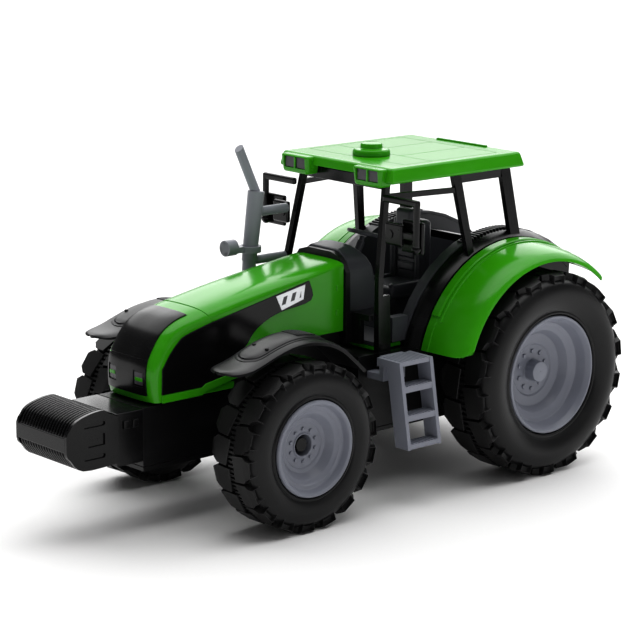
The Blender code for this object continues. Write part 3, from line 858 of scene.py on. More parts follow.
def smooth_line(points: Sequence[Point], per_span: int = 4, closed: bool = False) -> list[tuple]:
    """Points on a smooth line through the given ones.

    Args:
        points: The points to pass through, with any number of coordinates.
        per_span: How many points each span gets.
        closed: Whether the line runs back to its start.

    Returns:
        The points in order; an open line ends on its last point.
    """
    count = len(points)
    spans = count if closed else count - 1
    line = []
    for index in range(spans):
        if closed:
            a, b, c, d = (points[(index + k) % count] for k in (-1, 0, 1, 2))
        else:
            a, b, c, d = (points[min(max(index + k, 0), count - 1)] for k in (-1, 0, 1, 2))
        for step in range(per_span):
            t = step / per_span
            line.append(
                tuple(
                    0.5 * (2 * q + (r - p) * t + (2 * p - 5 * q + 4 * r - s) * t * t
                           + (3 * q - p - 3 * r + s) * t**3)
                    for p, q, r, s in zip(a, b, c, d)
                )
            )
    return line if closed else line + [tuple(points[-1])]


def height_at(line: Sequence[Point], where: float) -> float:
    """The second coordinate of a line that runs one way.

    Args:
        line: The line's points.
        where: The value of the first coordinate.

    Returns:
        The second coordinate there.
    """
    points = sorted(line)
    for (u0, v0), (u1, v1) in zip(points, points[1:]):
        if where <= u1:
            return v0 + (v1 - v0) * min(max((where - u0) / (u1 - u0), 0.0), 1.0)
    return points[-1][1]


def step_between(value: float, low: float, high: float) -> float:
    """A smooth rise from 0 at low to 1 at high."""
    t = min(max((value - low) / (high - low), 0.0), 1.0)
    return t * t * (3 - 2 * t)


class Workshop:
    """Turns finished shapes into pieces that ride on the tractor's bodies."""

    def __init__(self) -> None:
        """Reads the rear axle's place, which is where the shapes' own origin is."""
        low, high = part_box("rear_axle")
        self.origin = Vector((0, (low.y + high.y) / 2, 0))
        self.to_frame = Matrix.Translation(self.origin) @ Matrix.Scale(MM, 4)
        bodies = frame["record"]["behaviour"]["bodies"]
        self.body_of = {node: body for body, nodes in bodies.items() for node in nodes}
        self.materials: dict[str, bpy.types.Material] = {}

    def place(self, point: Point) -> Vector:
        """A point in millimetres as a place in the frame."""
        return self.to_frame @ Vector(point)

    def material(self, finish: Finish) -> bpy.types.Material:
        """The finish's material, made once."""
        if finish.name not in self.materials:
            self.materials[finish.name] = finish.make()
        return self.materials[finish.name]

    def piece(
        self,
        shape: Shape,
        name: str,
        finish: Finish,
        nodes: Sequence[str] = (),
        body: str = "",
        smooth: float = 38.0,
    ) -> bpy.types.Object:
        """Makes a shape a piece of the tractor.

        Args:
            shape: Its form in millimetres.
            name: The piece's name.
            finish: Its finish.
            nodes: The CAD nodes that it stands for.
            body: The body it rides on, if not its first node's.
            smooth: The angle in degrees up to which its faces are shaded as one.

        Returns:
            The piece's object.
        """
        mesh = shape.moved(self.to_frame).mesh(name)
        mesh.shade_smooth()
        mesh.set_sharp_from_angle(angle=math.radians(smooth))
        mesh.materials.append(self.material(finish))
        obj = bpy.data.objects.new(name, mesh)
        bpy.context.scene.collection.objects.link(obj)
        even = obj.modifiers.new("even_shading", "WEIGHTED_NORMAL")
        even.keep_sharp = True
        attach(obj, body or self.body_of[nodes[0]])
        if nodes:
            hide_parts(*nodes)
        log.info("%s: %d faces, %s", name, len(mesh.polygons), finish.name)
        return obj

    def pair(
        self,
        shape: Shape,
        name: str,
        finish: Finish,
        node: str = "",
        body: str = "",
        smooth: float = 38.0,
    ) -> None:
        """Makes a left piece and its mirror image on the right.

        Args:
            shape: The left piece's form, which is used up.
            name: The pieces' name without their side.
            finish: Their finish.
            node: The name, without its side, of the CAD node that each stands for.
            body: The body they ride on, if not their nodes'.
            smooth: The angle in degrees up to which their faces are shaded as one.
        """
        for side, form in (("left", shape.copied()), ("right", shape.mirrored())):
            nodes = (f"{node}_{side}",) if node else ()
            self.piece(form, f"{name}_{side}", finish, nodes, body, smooth)
        shape.bm.free()

    def soften(self, node: str, finish: Finish, width: float) -> None:
        """Rounds the edges of a merged copy of a CAD node, which then stands for it.

        Args:
            node: The node's name.
            finish: Its finish.
            width: The width of the rounding; a wide one gets a segment more.
        """
        segments = 3 if width > WIDE_ROUNDING else 2
        shape = Shape.of_node(node, self.to_frame).rounded(width, segments)
        self.piece(shape, node + "_moulding", finish, (node,))

    def dress(self, node: str, finish: Finish) -> None:
        """Gives a CAD node that stays its finish.

        Args:
            node: The node's name.
            finish: Its finish.
        """
        obj = frame["nodes"][node]
        obj.data.materials.clear()
        obj.data.materials.append(self.material(finish))
        log.info("%s: kept, %s", node, finish.name)


# ---------------------------------------------------------------------- wheels


@dataclass
class Wheel:
    """A tyre with moulded lugs and its rim, made for the left side and mirrored for the right."""

    shop: Workshop
    which: str
    centre: Point
    radius: float
    carcass: Sequence[Point]
    rim: Sequence[Point]
    disc_x: float
    tread_x: tuple[float, float]
    lug_end: float
    phase: float
    bolt_ring: float
    bolt_size: float
    lugs: int = 18
    ticks: int = 6
    bolts: int = 10

    @property
    def pitch(self) -> float:
        """The length along the tread from one lug to the next."""
        return 2 * math.pi * self.radius / self.lugs

    def wrap(self, shape: Shape, slide: float) -> Shape:
        """Bends a flat shape, with Y along the tread and Z its height, round the tyre.

        Args:
            shape: The flat shape.
            slide: How far along the tread it is moved first.

        Returns:
            The same shape.
        """
        _, y0, z0 = self.centre
        for vert in shape.bm.verts:
            x, y, z = vert.co
            angle = math.radians(self.phase) + (y + slide) / self.radius
            vert.co = (x, y0 + z * math.cos(angle), z0 + z * math.sin(angle))
        return shape

    def lug(self, inner: bool) -> Shape:
        """One flat lug, before it is bent round the tyre.

        Args:
            inner: Whether it belongs to the tyre's inner half.

        Returns:
            The lug.
        """
        middle = sum(self.tread_x) / 2
        shoulder = self.tread_x[1] - middle
        end = self.lug_end - middle
        pitch = self.pitch
        lean = 0.10 * pitch
        sides = (
            (1.9, 0.455 * pitch),
            (shoulder - 2.0, 0.455 * pitch),
            (shoulder - 0.2, 5.0),
            (end, 4.2),
        )

        def line(x: float) -> float:
            """How far the lug's middle line leans along the tread at a place across it."""
            return lean * (0.5 - x / end)

        outline = [(middle + x, line(x) - half) for x, half in sides]
        outline += [(middle + x, line(x) + half) for x, half in reversed(sides)]
        outline[0] = (outline[0][0] - 0.9, outline[0][1])
        outline[-1] = (outline[-1][0] + 0.9, outline[-1][1])
        shape = Shape.plate(outline, self.radius - 6.4, self.radius, Axis.Z)
        for x, _ in sides[1:3]:
            bmesh.ops.bisect_plane(
                shape.bm,
                geom=shape.bm.verts[:] + shape.bm.edges[:] + shape.bm.faces[:],
                plane_co=(middle + x, 0, 0),
                plane_no=(1, 0, 0),
            )
        self.hollow_end(shape)
        self.slope_top(shape, middle, shoulder, pitch)
        if inner:
            shape.moved(Matrix.Translation((2 * middle, 0, 0)) @ Matrix.Scale(-1, 4, (1, 0, 0)))
            bmesh.ops.reverse_faces(shape.bm, faces=shape.bm.faces)
        return shape

    def hollow_end(self, shape: Shape) -> None:
        """Sinks a pocket into the lug's end on the tyre's wall."""
        shape.bm.normal_update()
        end = max(shape.bm.faces, key=lambda face: face.calc_center_median().x)
        bmesh.ops.inset_region(shape.bm, faces=[end], thickness=1.15, use_even_offset=True)
        bmesh.ops.translate(shape.bm, verts=end.verts, vec=(-2.2, 0, 0))

    def slope_top(self, shape: Shape, middle: float, shoulder: float, pitch: float) -> None:
        """Slopes the lug's top down towards one side near the middle, and over the shoulder.

        Args:
            shape: The lug.
            middle: The X of the tread's middle.
            shoulder: How far the shoulder is from it.
            pitch: The length from one lug to the next.
        """
        for vert in shape.bm.verts:
            if vert.co.z > self.radius - 0.01:
                share = max(0.0, 1 - (vert.co.x - middle) / (shoulder - 2.5))
                vert.co.z -= share * 0.8 * (0.5 - vert.co.y / pitch)
                over = max(0.0, vert.co.x - (middle + shoulder))
                vert.co.z -= 0.42 * over

    def tread(self) -> Shape:
        """All the lugs and the comb of fine bars along the middle.

        Returns:
            The tread, bent round the tyre.
        """
        middle = sum(self.tread_x) / 2
        tread = Shape()
        for inner, offset in ((False, 0.0), (True, 0.5)):
            rounded = self.lug(inner).rounded(0.3, 1, 40)
            for index in range(self.lugs):
                tread.with_also(self.wrap(rounded.copied(), (index + offset) * self.pitch))
            rounded.bm.free()
        count = self.lugs * self.ticks
        for index in range(count):
            slide = index * self.pitch / self.ticks
            low = (middle - 2.4, -0.6, self.radius - 4)
            high = (middle + 2.4, 0.6, self.radius - 1.4)
            tread.with_also(self.wrap(Shape.box(low, high), slide))
        return tread

    def build(self) -> None:
        """Makes both tyres and both rims."""
        line = smooth_line(self.carcass, 3, closed=True)
        hub = self.shop.place(self.centre)
        vinyl = Vinyl(self.which + "_vinyl", "tyre_black", hub, self.radius * MM)
        tyre = Shape.turned(line, self.centre, 108).with_also(self.tread())
        self.shop.pair(tyre, f"tyre_{self.which}", vinyl, f"{self.which}_tyre", smooth=34)
        rim = Shape.turned(self.rim, self.centre, 96)
        _, y0, z0 = self.centre
        low, high = self.disc_x - 0.5, self.disc_x + 0.9
        for index in range(self.bolts):
            angle = math.radians((index + 0.5) * 360 / self.bolts)
            y, z = y0 + self.bolt_ring * math.cos(angle), z0 + self.bolt_ring * math.sin(angle)
            bolt = Shape.rod((low, y, z), (high, y, z), self.bolt_size, sides=16)
            rim.with_also(bolt.rounded(0.35, 2))
        self.shop.pair(rim, f"rim_{self.which}", RIM, f"{self.which}_rim", smooth=30)


def front_wheels(shop: Workshop) -> Wheel:
    """The front wheels' sizes.

    Args:
        shop: The workshop that makes the pieces.

    Returns:
        The wheels, not yet built.
    """
    return Wheel(
        shop=shop,
        which="front",
        centre=(0, -163.5, 42.84),
        radius=42.8,
        carcass=(
            (44.6, 23.7), (57.0, 23.6), (70.2, 23.7), (70.5, 24.7), (71.3, 25.1), (71.5, 26.1),
            (71.0, 26.8), (71.6, 28.0), (72.2, 31.0), (72.1, 34.0), (71.3, 37.0), (69.6, 39.2),
            (67.0, 40.0), (57.3, 40.2), (47.4, 40.0), (44.8, 39.2), (43.1, 37.0), (42.3, 34.0),
            (42.2, 31.0), (42.8, 28.0), (43.6, 25.4),
        ),
        rim=(
            (43.0, 2.0), (49.5, 2.0), (49.5, 5.2), (49.9, 5.4), (62.8, 5.4), (63.1, 5.7),
            (63.1, 6.1), (62.6, 6.5), (62.5, 6.8), (62.5, 11.4), (62.9, 11.9), (63.1, 12.3),
            (63.1, 13.7), (63.5, 14.3), (66.8, 16.6), (67.3, 17.1), (67.6, 18.2), (68.1, 18.7),
            (68.5, 19.2), (68.7, 20.7), (69.1, 21.2), (71.5, 22.0), (72.2, 22.4), (72.55, 23.0),
            (72.6, 23.6), (72.3, 24.2), (71.6, 24.5), (70.8, 24.4), (70.6, 24.0), (70.6, 23.3),
            (43.8, 23.3), (43.6, 23.1), (43.6, 21.4), (60.8, 17.0), (60.8, 6.8), (43.0, 4.6),
        ),
        disc_x=62.5,
        tread_x=(45.6, 69.0),
        lug_end=71.4,
        phase=6.0,
        bolt_ring=8.3,
        bolt_size=1.0,
    )


def rear_wheels(shop: Workshop) -> Wheel:
    """The rear wheels' sizes.

    Args:
        shop: The workshop that makes the pieces.

    Returns:
        The wheels, not yet built.
    """
    return Wheel(
        shop=shop,
        which="rear",
        centre=(0, 0, 55.0),
        radius=54.96,
        carcass=(
            (48.4, 31.0), (62.0, 30.9), (75.2, 31.0), (75.6, 32.1), (77.3, 32.6), (77.8, 33.5),
            (77.5, 34.4), (78.4, 35.8), (79.7, 39.2), (80.35, 43.2), (79.9, 47.0), (78.6, 49.8),
            (76.2, 51.4), (73.0, 51.9), (63.0, 52.1), (53.0, 51.9), (49.8, 51.4), (47.4, 49.8),
            (46.1, 47.0), (45.8, 43.2), (46.2, 39.2), (47.4, 35.4),
        ),
        rim=(
            (46.0, 2.4), (66.5, 2.4), (66.5, 0.2), (69.0, 0.2), (69.0, 4.9), (68.8, 5.4),
            (68.3, 5.6), (63.0, 5.7), (62.6, 6.1), (62.5, 6.6), (62.5, 13.6), (62.9, 14.1),
            (63.2, 14.6), (63.2, 19.2), (63.6, 19.9), (67.6, 22.2), (68.2, 22.8), (68.6, 24.2),
            (69.2, 24.8), (69.6, 25.6), (69.9, 26.9), (70.6, 27.5), (74.6, 28.6), (75.4, 29.0),
            (77.2, 30.0), (77.8, 30.6), (77.86, 31.2), (77.6, 31.7), (77.0, 31.9), (76.0, 31.85),
            (75.6, 31.5), (75.6, 30.6), (47.6, 30.6), (47.4, 30.4), (47.4, 28.8), (60.6, 22.0),
            (60.6, 7.0), (46.0, 5.4),
        ),
        disc_x=62.5,
        tread_x=(49.6, 76.4),
        lug_end=79.3,
        phase=8.7,
        bolt_ring=10.3,
        bolt_size=1.25,
    )


# ------------------------------------------------------------------- the front


@dataclass
class WeightBlock:
    """The ribbed weight block in front of the hood, and the bracket that holds it."""

    shop: Workshop
    half_width: float = 20.87
    rib: float = 1.1
    ribs: int = 17
    pitch: float = 2.2
    bar_z: tuple[float, float] = (49.7, 57.3)
    front_y: float = -275.65
    outline: Sequence[Point] = (
        (-275.0, 57.3), (-275.0, 49.7), (-273.4, 46.0), (-266.1, 39.6), (-246.0, 39.8),
        (-245.0, 41.0), (-245.0, 62.6), (-246.0, 63.6), (-250.1, 65.3), (-253.5, 67.5),
        (-260.3, 67.3), (-268.6, 65.1), (-272.5, 62.2),
    )

    @property
    def smooth(self) -> list[tuple]:
        """The outline with its front and top rounded."""
        under, rear, over = self.outline[1:5], self.outline[4:9], self.outline[8:13]
        lines = smooth_line(under, 4)[:-1] + list(rear[:-1])
        return lines + smooth_line([*over, self.outline[0]], 4)

    def core(self) -> Shape:
        """The plain body between the ribs.

        Returns:
            The body.
        """
        middle = (-260.0, 53.5)
        inner = [
            (middle[0] + (y - middle[0]) * 0.86, middle[1] + (z - middle[1]) * 0.84)
            for y, z in self.smooth
        ]
        return Shape.plate(inner, -self.half_width + 1, self.half_width - 1)

    def end_plate(self) -> Shape:
        """The left end plate, with two slots and a rectangle sunk into it.

        Returns:
            The plate.
        """
        full = [(y - (0.6 if y < -273.6 else 0.0), z) for y, z in self.smooth]
        plate = Shape.plate(full, self.half_width - 1.7, self.half_width)
        outside = self.half_width + 1
        deep = self.half_width - 0.8
        sunk = [
            Shape.box((deep, -263.0, 50.6), (outside, -253.0, 56.4)),
            Shape.box((deep, -265.2, 60.2), (outside, -254.0, 62.6)),
            Shape.box((deep, -265.2, 44.2), (outside, -254.0, 46.6)),
            Shape.rod((deep, -254.0, 61.4), (outside, -254.0, 61.4), 1.2, sides=16),
            Shape.rod((deep, -254.0, 45.4), (outside, -254.0, 45.4), 1.2, sides=16),
        ]
        return plate.carved(*sunk).rounded(0.3, 2)

    def build(self) -> None:
        """Makes the weight block and its bracket."""
        block = self.core()
        first = -(self.ribs - 1) / 2 * self.pitch
        rib = Shape.plate(self.smooth, -self.rib / 2, self.rib / 2).rounded(0.3, 1)
        for index in range(self.ribs):
            place = Matrix.Translation((first + index * self.pitch, 0, 0))
            block.with_also(rib.copied().moved(place))
        rib.bm.free()
        low, high = self.bar_z
        inside = self.half_width - 1.2
        bar = Shape.box((-inside, self.front_y, low), (inside, -268, high))
        end = self.end_plate()
        block.with_also(bar.rounded(0.5, 3), end.mirrored(), end)
        self.shop.piece(block, "weight_ribs", BLACK_GLOSS, ("weight_block",))
        bracket = Shape.of_node("nose_bracket", self.shop.to_frame).rounded(0.4, 2)
        for x in (-18.6, 18.6):
            for y in (-239.0, -233.5):
                lug = Shape.box((x - 1.2, y - 1.6, 55.5), (x + 1.2, y + 1.6, 59.5))
                bracket.with_also(lug.rounded(0.3, 2))
        self.shop.piece(bracket, "nose_bracket_moulding", BLACK_GLOSS, ("nose_bracket",))


@dataclass
class Hood:
    """The crowned green hood with its black side panels, corner strips, nose insert and badge."""

    shop: Workshop
    half_width: float = 19.45
    crown: float = 3.0
    wall: float = 1.7
    seam: float = 0.35
    heart: Point = (-150.0, 80.0)
    # Middle line y and z, shoulder line y and z, and lower edge y and z, from nose to windscreen.
    lines: Sequence[Point] = (
        (-223.0, 64.9, -217.4, 64.9, -172.0, 64.9),
        (-224.3, 69.5, -217.9, 69.0, -171.6, 67.5),
        (-224.7, 75.0, -217.9, 74.0, -171.2, 70.5),
        (-224.6, 80.0, -217.6, 79.0, -170.6, 73.5),
        (-223.8, 85.0, -216.0, 83.5, -169.4, 76.5),
        (-221.2, 90.2, -213.2, 87.4, -168.0, 79.2),
        (-217.6, 95.6, -209.6, 91.6, -166.2, 81.6),
        (-213.0, 100.2, -205.4, 95.0, -163.6, 83.0),
        (-205.6, 104.0, -198.4, 97.7, -159.6, 83.3),
        (-196.0, 106.3, -190.0, 99.7, -154.0, 83.3),
        (-190.0, 107.6, -185.0, 100.8, -149.6, 83.3),
        (-175.0, 110.3, -171.6, 103.4, -140.0, 83.3),
        (-160.0, 112.8, -158.0, 106.0, -132.0, 83.3),
        (-142.0, 115.2, -141.0, 109.4, -121.0, 83.3),
        (-125.0, 117.2, -124.4, 112.5, -111.4, 83.3),
        (-111.0, 118.8, -110.8, 115.1, -104.2, 83.3),
        (-98.0, 120.1, -98.0, 117.4, -98.0, 83.3),
    )
    panel_outline: Sequence[Point] = (
        (-217.6, 68.6), (-217.2, 81.3), (-212.4, 88.2), (-207.6, 93.3), (-202.8, 96.4),
        (-188.3, 100.2), (-121.8, 113.2), (-120.4, 102.8), (-141.5, 99.3), (-152.6, 95.5),
        (-159.4, 90.8), (-163.2, 86.0), (-168.2, 82.6), (-170.2, 68.6),
    )
    badge_outline: Sequence[Point] = (
        (-144.4, 108.0), (-124.8, 111.6), (-126.0, 104.0), (-140.7, 100.2),
    )

    def place(self, share: float, across: float, lift: float = 0.0) -> Vector:
        """A point of the hood's surface.

        Args:
            share: How far along the lines, from 0 at the nose to 1 at the windscreen.
            across: 0 on the middle line, 1 on the left shoulder, 2 at the left lower edge.
            lift: How far the point is raised off the surface.

        Returns:
            The point.
        """
        position = min(max(share, 0.0), 1.0) * (len(self.fine) - 1)
        index = min(int(position), len(self.fine) - 2)
        part = position - index
        row = [a + (b - a) * part for a, b in zip(self.fine[index], self.fine[index + 1])]
        middle, shoulder, lower = Vector(row[0:2]), Vector(row[2:4]), Vector(row[4:6])
        side = abs(across)
        if side <= 1:
            angle = side * math.pi / 2
            x = self.half_width * math.sin(angle) ** (2 / self.crown)
            line = shoulder + (middle - shoulder) * math.cos(angle) ** (2 / self.crown)
        else:
            x = self.half_width
            line = shoulder + (lower - shoulder) * (side - 1)
        outward = Vector((1, 0, 0))
        if side < 1:
            along, up = middle - Vector(self.heart)
            outward = Vector((x * 0.25, along * 0.4, up)).normalized()
        point = Vector((x, line.x, line.y)) + outward * lift
        return Vector((math.copysign(point.x, across), point.y, point.z))

    @cached_property
    def fine(self) -> list[tuple]:
        """The lines with smooth rows between the given ones."""
        return smooth_line(self.lines, 5)

    def share_at(self, y: float) -> float:
        """The share at which the middle line passes a Y, on the hood's top.

        Args:
            y: The Y.

        Returns:
            The share.
        """
        rows = self.fine
        for index in range(len(rows) // 3, len(rows) - 1):
            if rows[index][0] <= y <= rows[index + 1][0]:
                part = (y - rows[index][0]) / (rows[index + 1][0] - rows[index][0])
                return (index + part) / (len(rows) - 1)
        return 1.0

    def skin(self) -> Shape:
        """The green shell, with a seam across it behind the nose.

        Returns:
            The shell.
        """
        seam = self.share_at(-190.5)
        half = 0.0028
        rows = [index / 56 for index in range(57) if abs(index / 56 - seam) > half * 2.2]
        rows = sorted(rows + [seam + half * part for part in (-1.6, -0.6, 0.6, 1.6)])
        top = [index / 15 for index in range(16)]
        sides = [1 + index / 6 for index in range(1, 7)]
        columns = sorted({-c for c in top + sides} | set(top + sides))

        def point(column: int, row: int) -> Vector:
            """Where a corner of the shell's grid goes."""
            on_seam = abs(rows[row] - seam) < half and abs(columns[column]) < 1.01
            return self.place(rows[row], columns[column], -self.seam if on_seam else 0.0)

        return Shape.lattice(len(columns), len(rows), point, self.wall)

    def strip(
        self,
        shares: tuple[float, float],
        left: float,
        right: float,
        lift: float,
        wall: float,
        narrower: float = 1.0,
    ) -> Shape:
        """A sheet that follows the hood's surface.

        Args:
            shares: Where it starts and ends along the hood.
            left: Its one edge across the hood.
            right: Its other edge.
            lift: How far it stands over the surface.
            wall: Its thickness.
            narrower: Its width at the upper end over the one at the lower end.

        Returns:
            The sheet.
        """
        low, high = shares
        rows = [low + (high - low) * index / 24 for index in range(25)]
        columns = [left + (right - left) * index / 16 for index in range(17)]

        def point(column: int, row: int) -> Vector:
            """Where a corner of the strip's grid goes."""
            scale = 1 + (narrower - 1) * row / 24
            return self.place(rows[row], columns[column] * scale, lift)

        return Shape.lattice(17, 25, point, wall)

    def nose(self) -> None:
        """The black insert down the nose, with a groove across it and two lamp windows."""
        low, groove, high = 0.052, 0.262, self.share_at(-198.0)
        edge, narrower = 0.49, 0.86
        bed = self.strip((low, high), -edge, edge, 0.25, 1.2, narrower)
        at_groove = 1 + (narrower - 1) * (groove - low) / (high - low)
        lower = self.strip((low, groove - 0.003), -edge, edge, 0.75, 1.0, at_groove)
        upper_edge = edge * at_groove
        taper = narrower / at_groove
        upper = self.strip((groove + 0.003, high), -upper_edge, upper_edge, 0.75, 1.0, taper)
        windows = [
            Shape.box((x - 3.5, -240, 72.4), (x + 3.5, -200, 80.4)) for x in (-10.4, 10.4)
        ]
        lower = lower.carved(*windows).rounded(0.25, 2, 45)
        insert = bed.with_also(lower, upper.rounded(0.25, 2, 45))
        self.shop.piece(insert, "nose_insert", BLACK_GLOSS, ("nose_grille",), smooth=40)
        lamp = self.strip((0.108, 0.182), 0.15, 0.375, 0.36, 0.5)
        self.shop.pair(lamp, "nose_lamp", LENS, body="tractor")
        bar = self.strip((0.130, 0.152), 0.17, 0.375, 0.66, 0.6)
        self.shop.pair(bar.rounded(0.15, 1, 45), "nose_lamp_bar", GREEN, body="tractor")

    def build(self) -> None:
        """Makes the shell and everything that is set into it."""
        self.shop.piece(self.skin(), "hood_skin", GREEN, ("hood_shell",), smooth=32)
        self.nose()
        width = self.half_width
        line = smooth_line(self.panel_outline[1:6], 4) + smooth_line(self.panel_outline[6:13], 4)
        outline = [self.panel_outline[0], *line, self.panel_outline[13]]
        panel = Shape.plate(outline, width - 0.9, width + 0.45).rounded(0.35, 2)
        self.shop.pair(panel, "hood_panel", BLACK_GLOSS, "side_panel")
        foot = [
            (-217.6, 64.6), (-192.5, 64.6), (-189.6, 66.4), (-168.2, 70.2), (-169.6, 73.4),
            (-190.2, 70.2), (-193.0, 68.4), (-217.6, 68.4),
        ]
        foot_strip = Shape.plate(foot, width - 0.9, width + 0.9).rounded(0.3, 2)
        self.shop.pair(foot_strip, "hood_foot_strip", GREEN, body="tractor")
        badge = Shape.plate(self.badge_outline, width - 0.3, width + 0.62).rounded(0.15, 2)
        foil = Foil("badge_foil", "sticker_silver", self.shop.place((0, -134.3, 106.0)), 0.19)
        self.shop.pair(badge, "hood_badge", foil, "badge")
        latches = Shape()
        for z in (92.0, 105.0):
            latch = Shape.box((width - 0.5, -103.2, z), (width + 0.5, -101.4, z + 3.2))
            latches.with_also(latch.rounded(0.3, 2))
        self.shop.pair(latches, "hood_latch", GREEN, body="tractor")


@dataclass
class FrontFender:
    """The dark front fender: a curved band with a rounded tip and a raised pad on it."""

    shop: Workshop
    inside: float = 39.0
    outside: float = 63.0
    wall: float = 1.8
    tip_y: float = -193.0
    tip_reach: float = 15.4
    rear_y: float = -121.5
    top: Sequence[Point] = (
        (-209.0, 85.6), (-202.0, 86.0), (-193.8, 87.4), (-182.1, 91.4), (-174.0, 93.7),
        (-167.0, 95.0), (-160.0, 95.3), (-152.4, 94.4), (-144.0, 92.2), (-136.0, 88.2),
        (-128.0, 81.5), (-121.0, 75.0),
    )

    def height(self, y: float) -> float:
        """The band's top at a Y."""
        return height_at(smooth_line(self.top, 4), y)

    def half_at(self, y: float, half: float, tip_y: float, reach: float) -> float:
        """Half a sheet's width at a Y, where its front ends in a rounded tip."""
        inside = min(max((tip_y - y) / reach, 0.0), 1.0)
        return half * max(1 - inside**2.5, 0.0) ** 0.4

    def surface(
        self,
        half: float,
        middle: float,
        tip_y: float,
        reach: float,
        rear_y: float,
        lift: float,
        wall: float,
        roll: float,
    ) -> Shape:
        """A sheet along the band.

        Args:
            half: Half its width.
            middle: The X of its middle.
            tip_y: The Y from which its front narrows.
            reach: The length of its rounded tip.
            rear_y: The Y of its rear end.
            lift: How far it stands over the band.
            wall: Its thickness.
            roll: How far its edges turn down.

        Returns:
            The sheet.
        """
        front = tip_y - reach
        tip_rows = [tip_y - reach * math.cos(math.radians(angle)) for angle in range(8, 88, 8)]
        rear_rows = [tip_y + (rear_y - tip_y) * index / 30 for index in range(31)]
        rows = [*tip_rows, *rear_rows]
        columns = [math.sin(math.radians(angle)) for angle in range(-90, 91, 15)]

        def point(column: int, row: int) -> Point:
            """Where a corner of the sheet's grid goes.

            Args:
                column: Its place across the sheet.
                row: Its place along the sheet.

            Returns:
                The corner's point.
            """
            y = rows[row]
            across = columns[column]
            x = middle + across * self.half_at(y, half, tip_y, reach)
            down = roll * (abs(across) ** 5 + (1 - step_between(y, front, front + 3.0)) * 0.4)
            return (x, y, self.height(y) + lift - down)

        return Shape.lattice(len(columns), len(rows), point, wall)

    def build(self) -> None:
        """Makes the band, its pad, its studs and its strut for both sides."""
        half, middle = (self.outside - self.inside) / 2, (self.outside + self.inside) / 2
        band = self.surface(
            half,
            middle,
            self.tip_y,
            self.tip_reach,
            self.rear_y,
            lift=0.0,
            wall=self.wall,
            roll=1.3,
        )
        strut = Shape.box((36.7, -167.3, 50.6), (39.4, -160.2, 93.2)).rounded(0.4, 2)
        foot = Shape.box((30.2, -167.3, 50.6), (39.4, -160.2, 52.8)).rounded(0.4, 2)
        self.shop.pair(band.with_also(strut, foot), "fender_band", MATT, "front_fender")
        groove = self.surface(9.2, 50.0, -183.5, 9.6, -146.0, lift=0.55, wall=1.0, roll=0.5)
        pad = self.surface(8.0, 50.0, -183.0, 8.6, -147.4, lift=1.5, wall=1.6, roll=0.9)
        pad.with_also(groove)
        for x, y in ((45.6, -180.5), (56.2, -181.5)):
            z = self.height(y) + 1.4
            pad.with_also(Shape.ball((x, y, z), 1.1, 0.7))
        for index in range(13):
            y = -161.5 + index * 0.95
            z = self.height(y) + 1.3
            pad.with_also(Shape.box((44.0, y - 0.22, z), (56.0, y + 0.22, z + 0.5)))
        self.shop.pair(pad, "fender_pad", MATT, body="tractor")


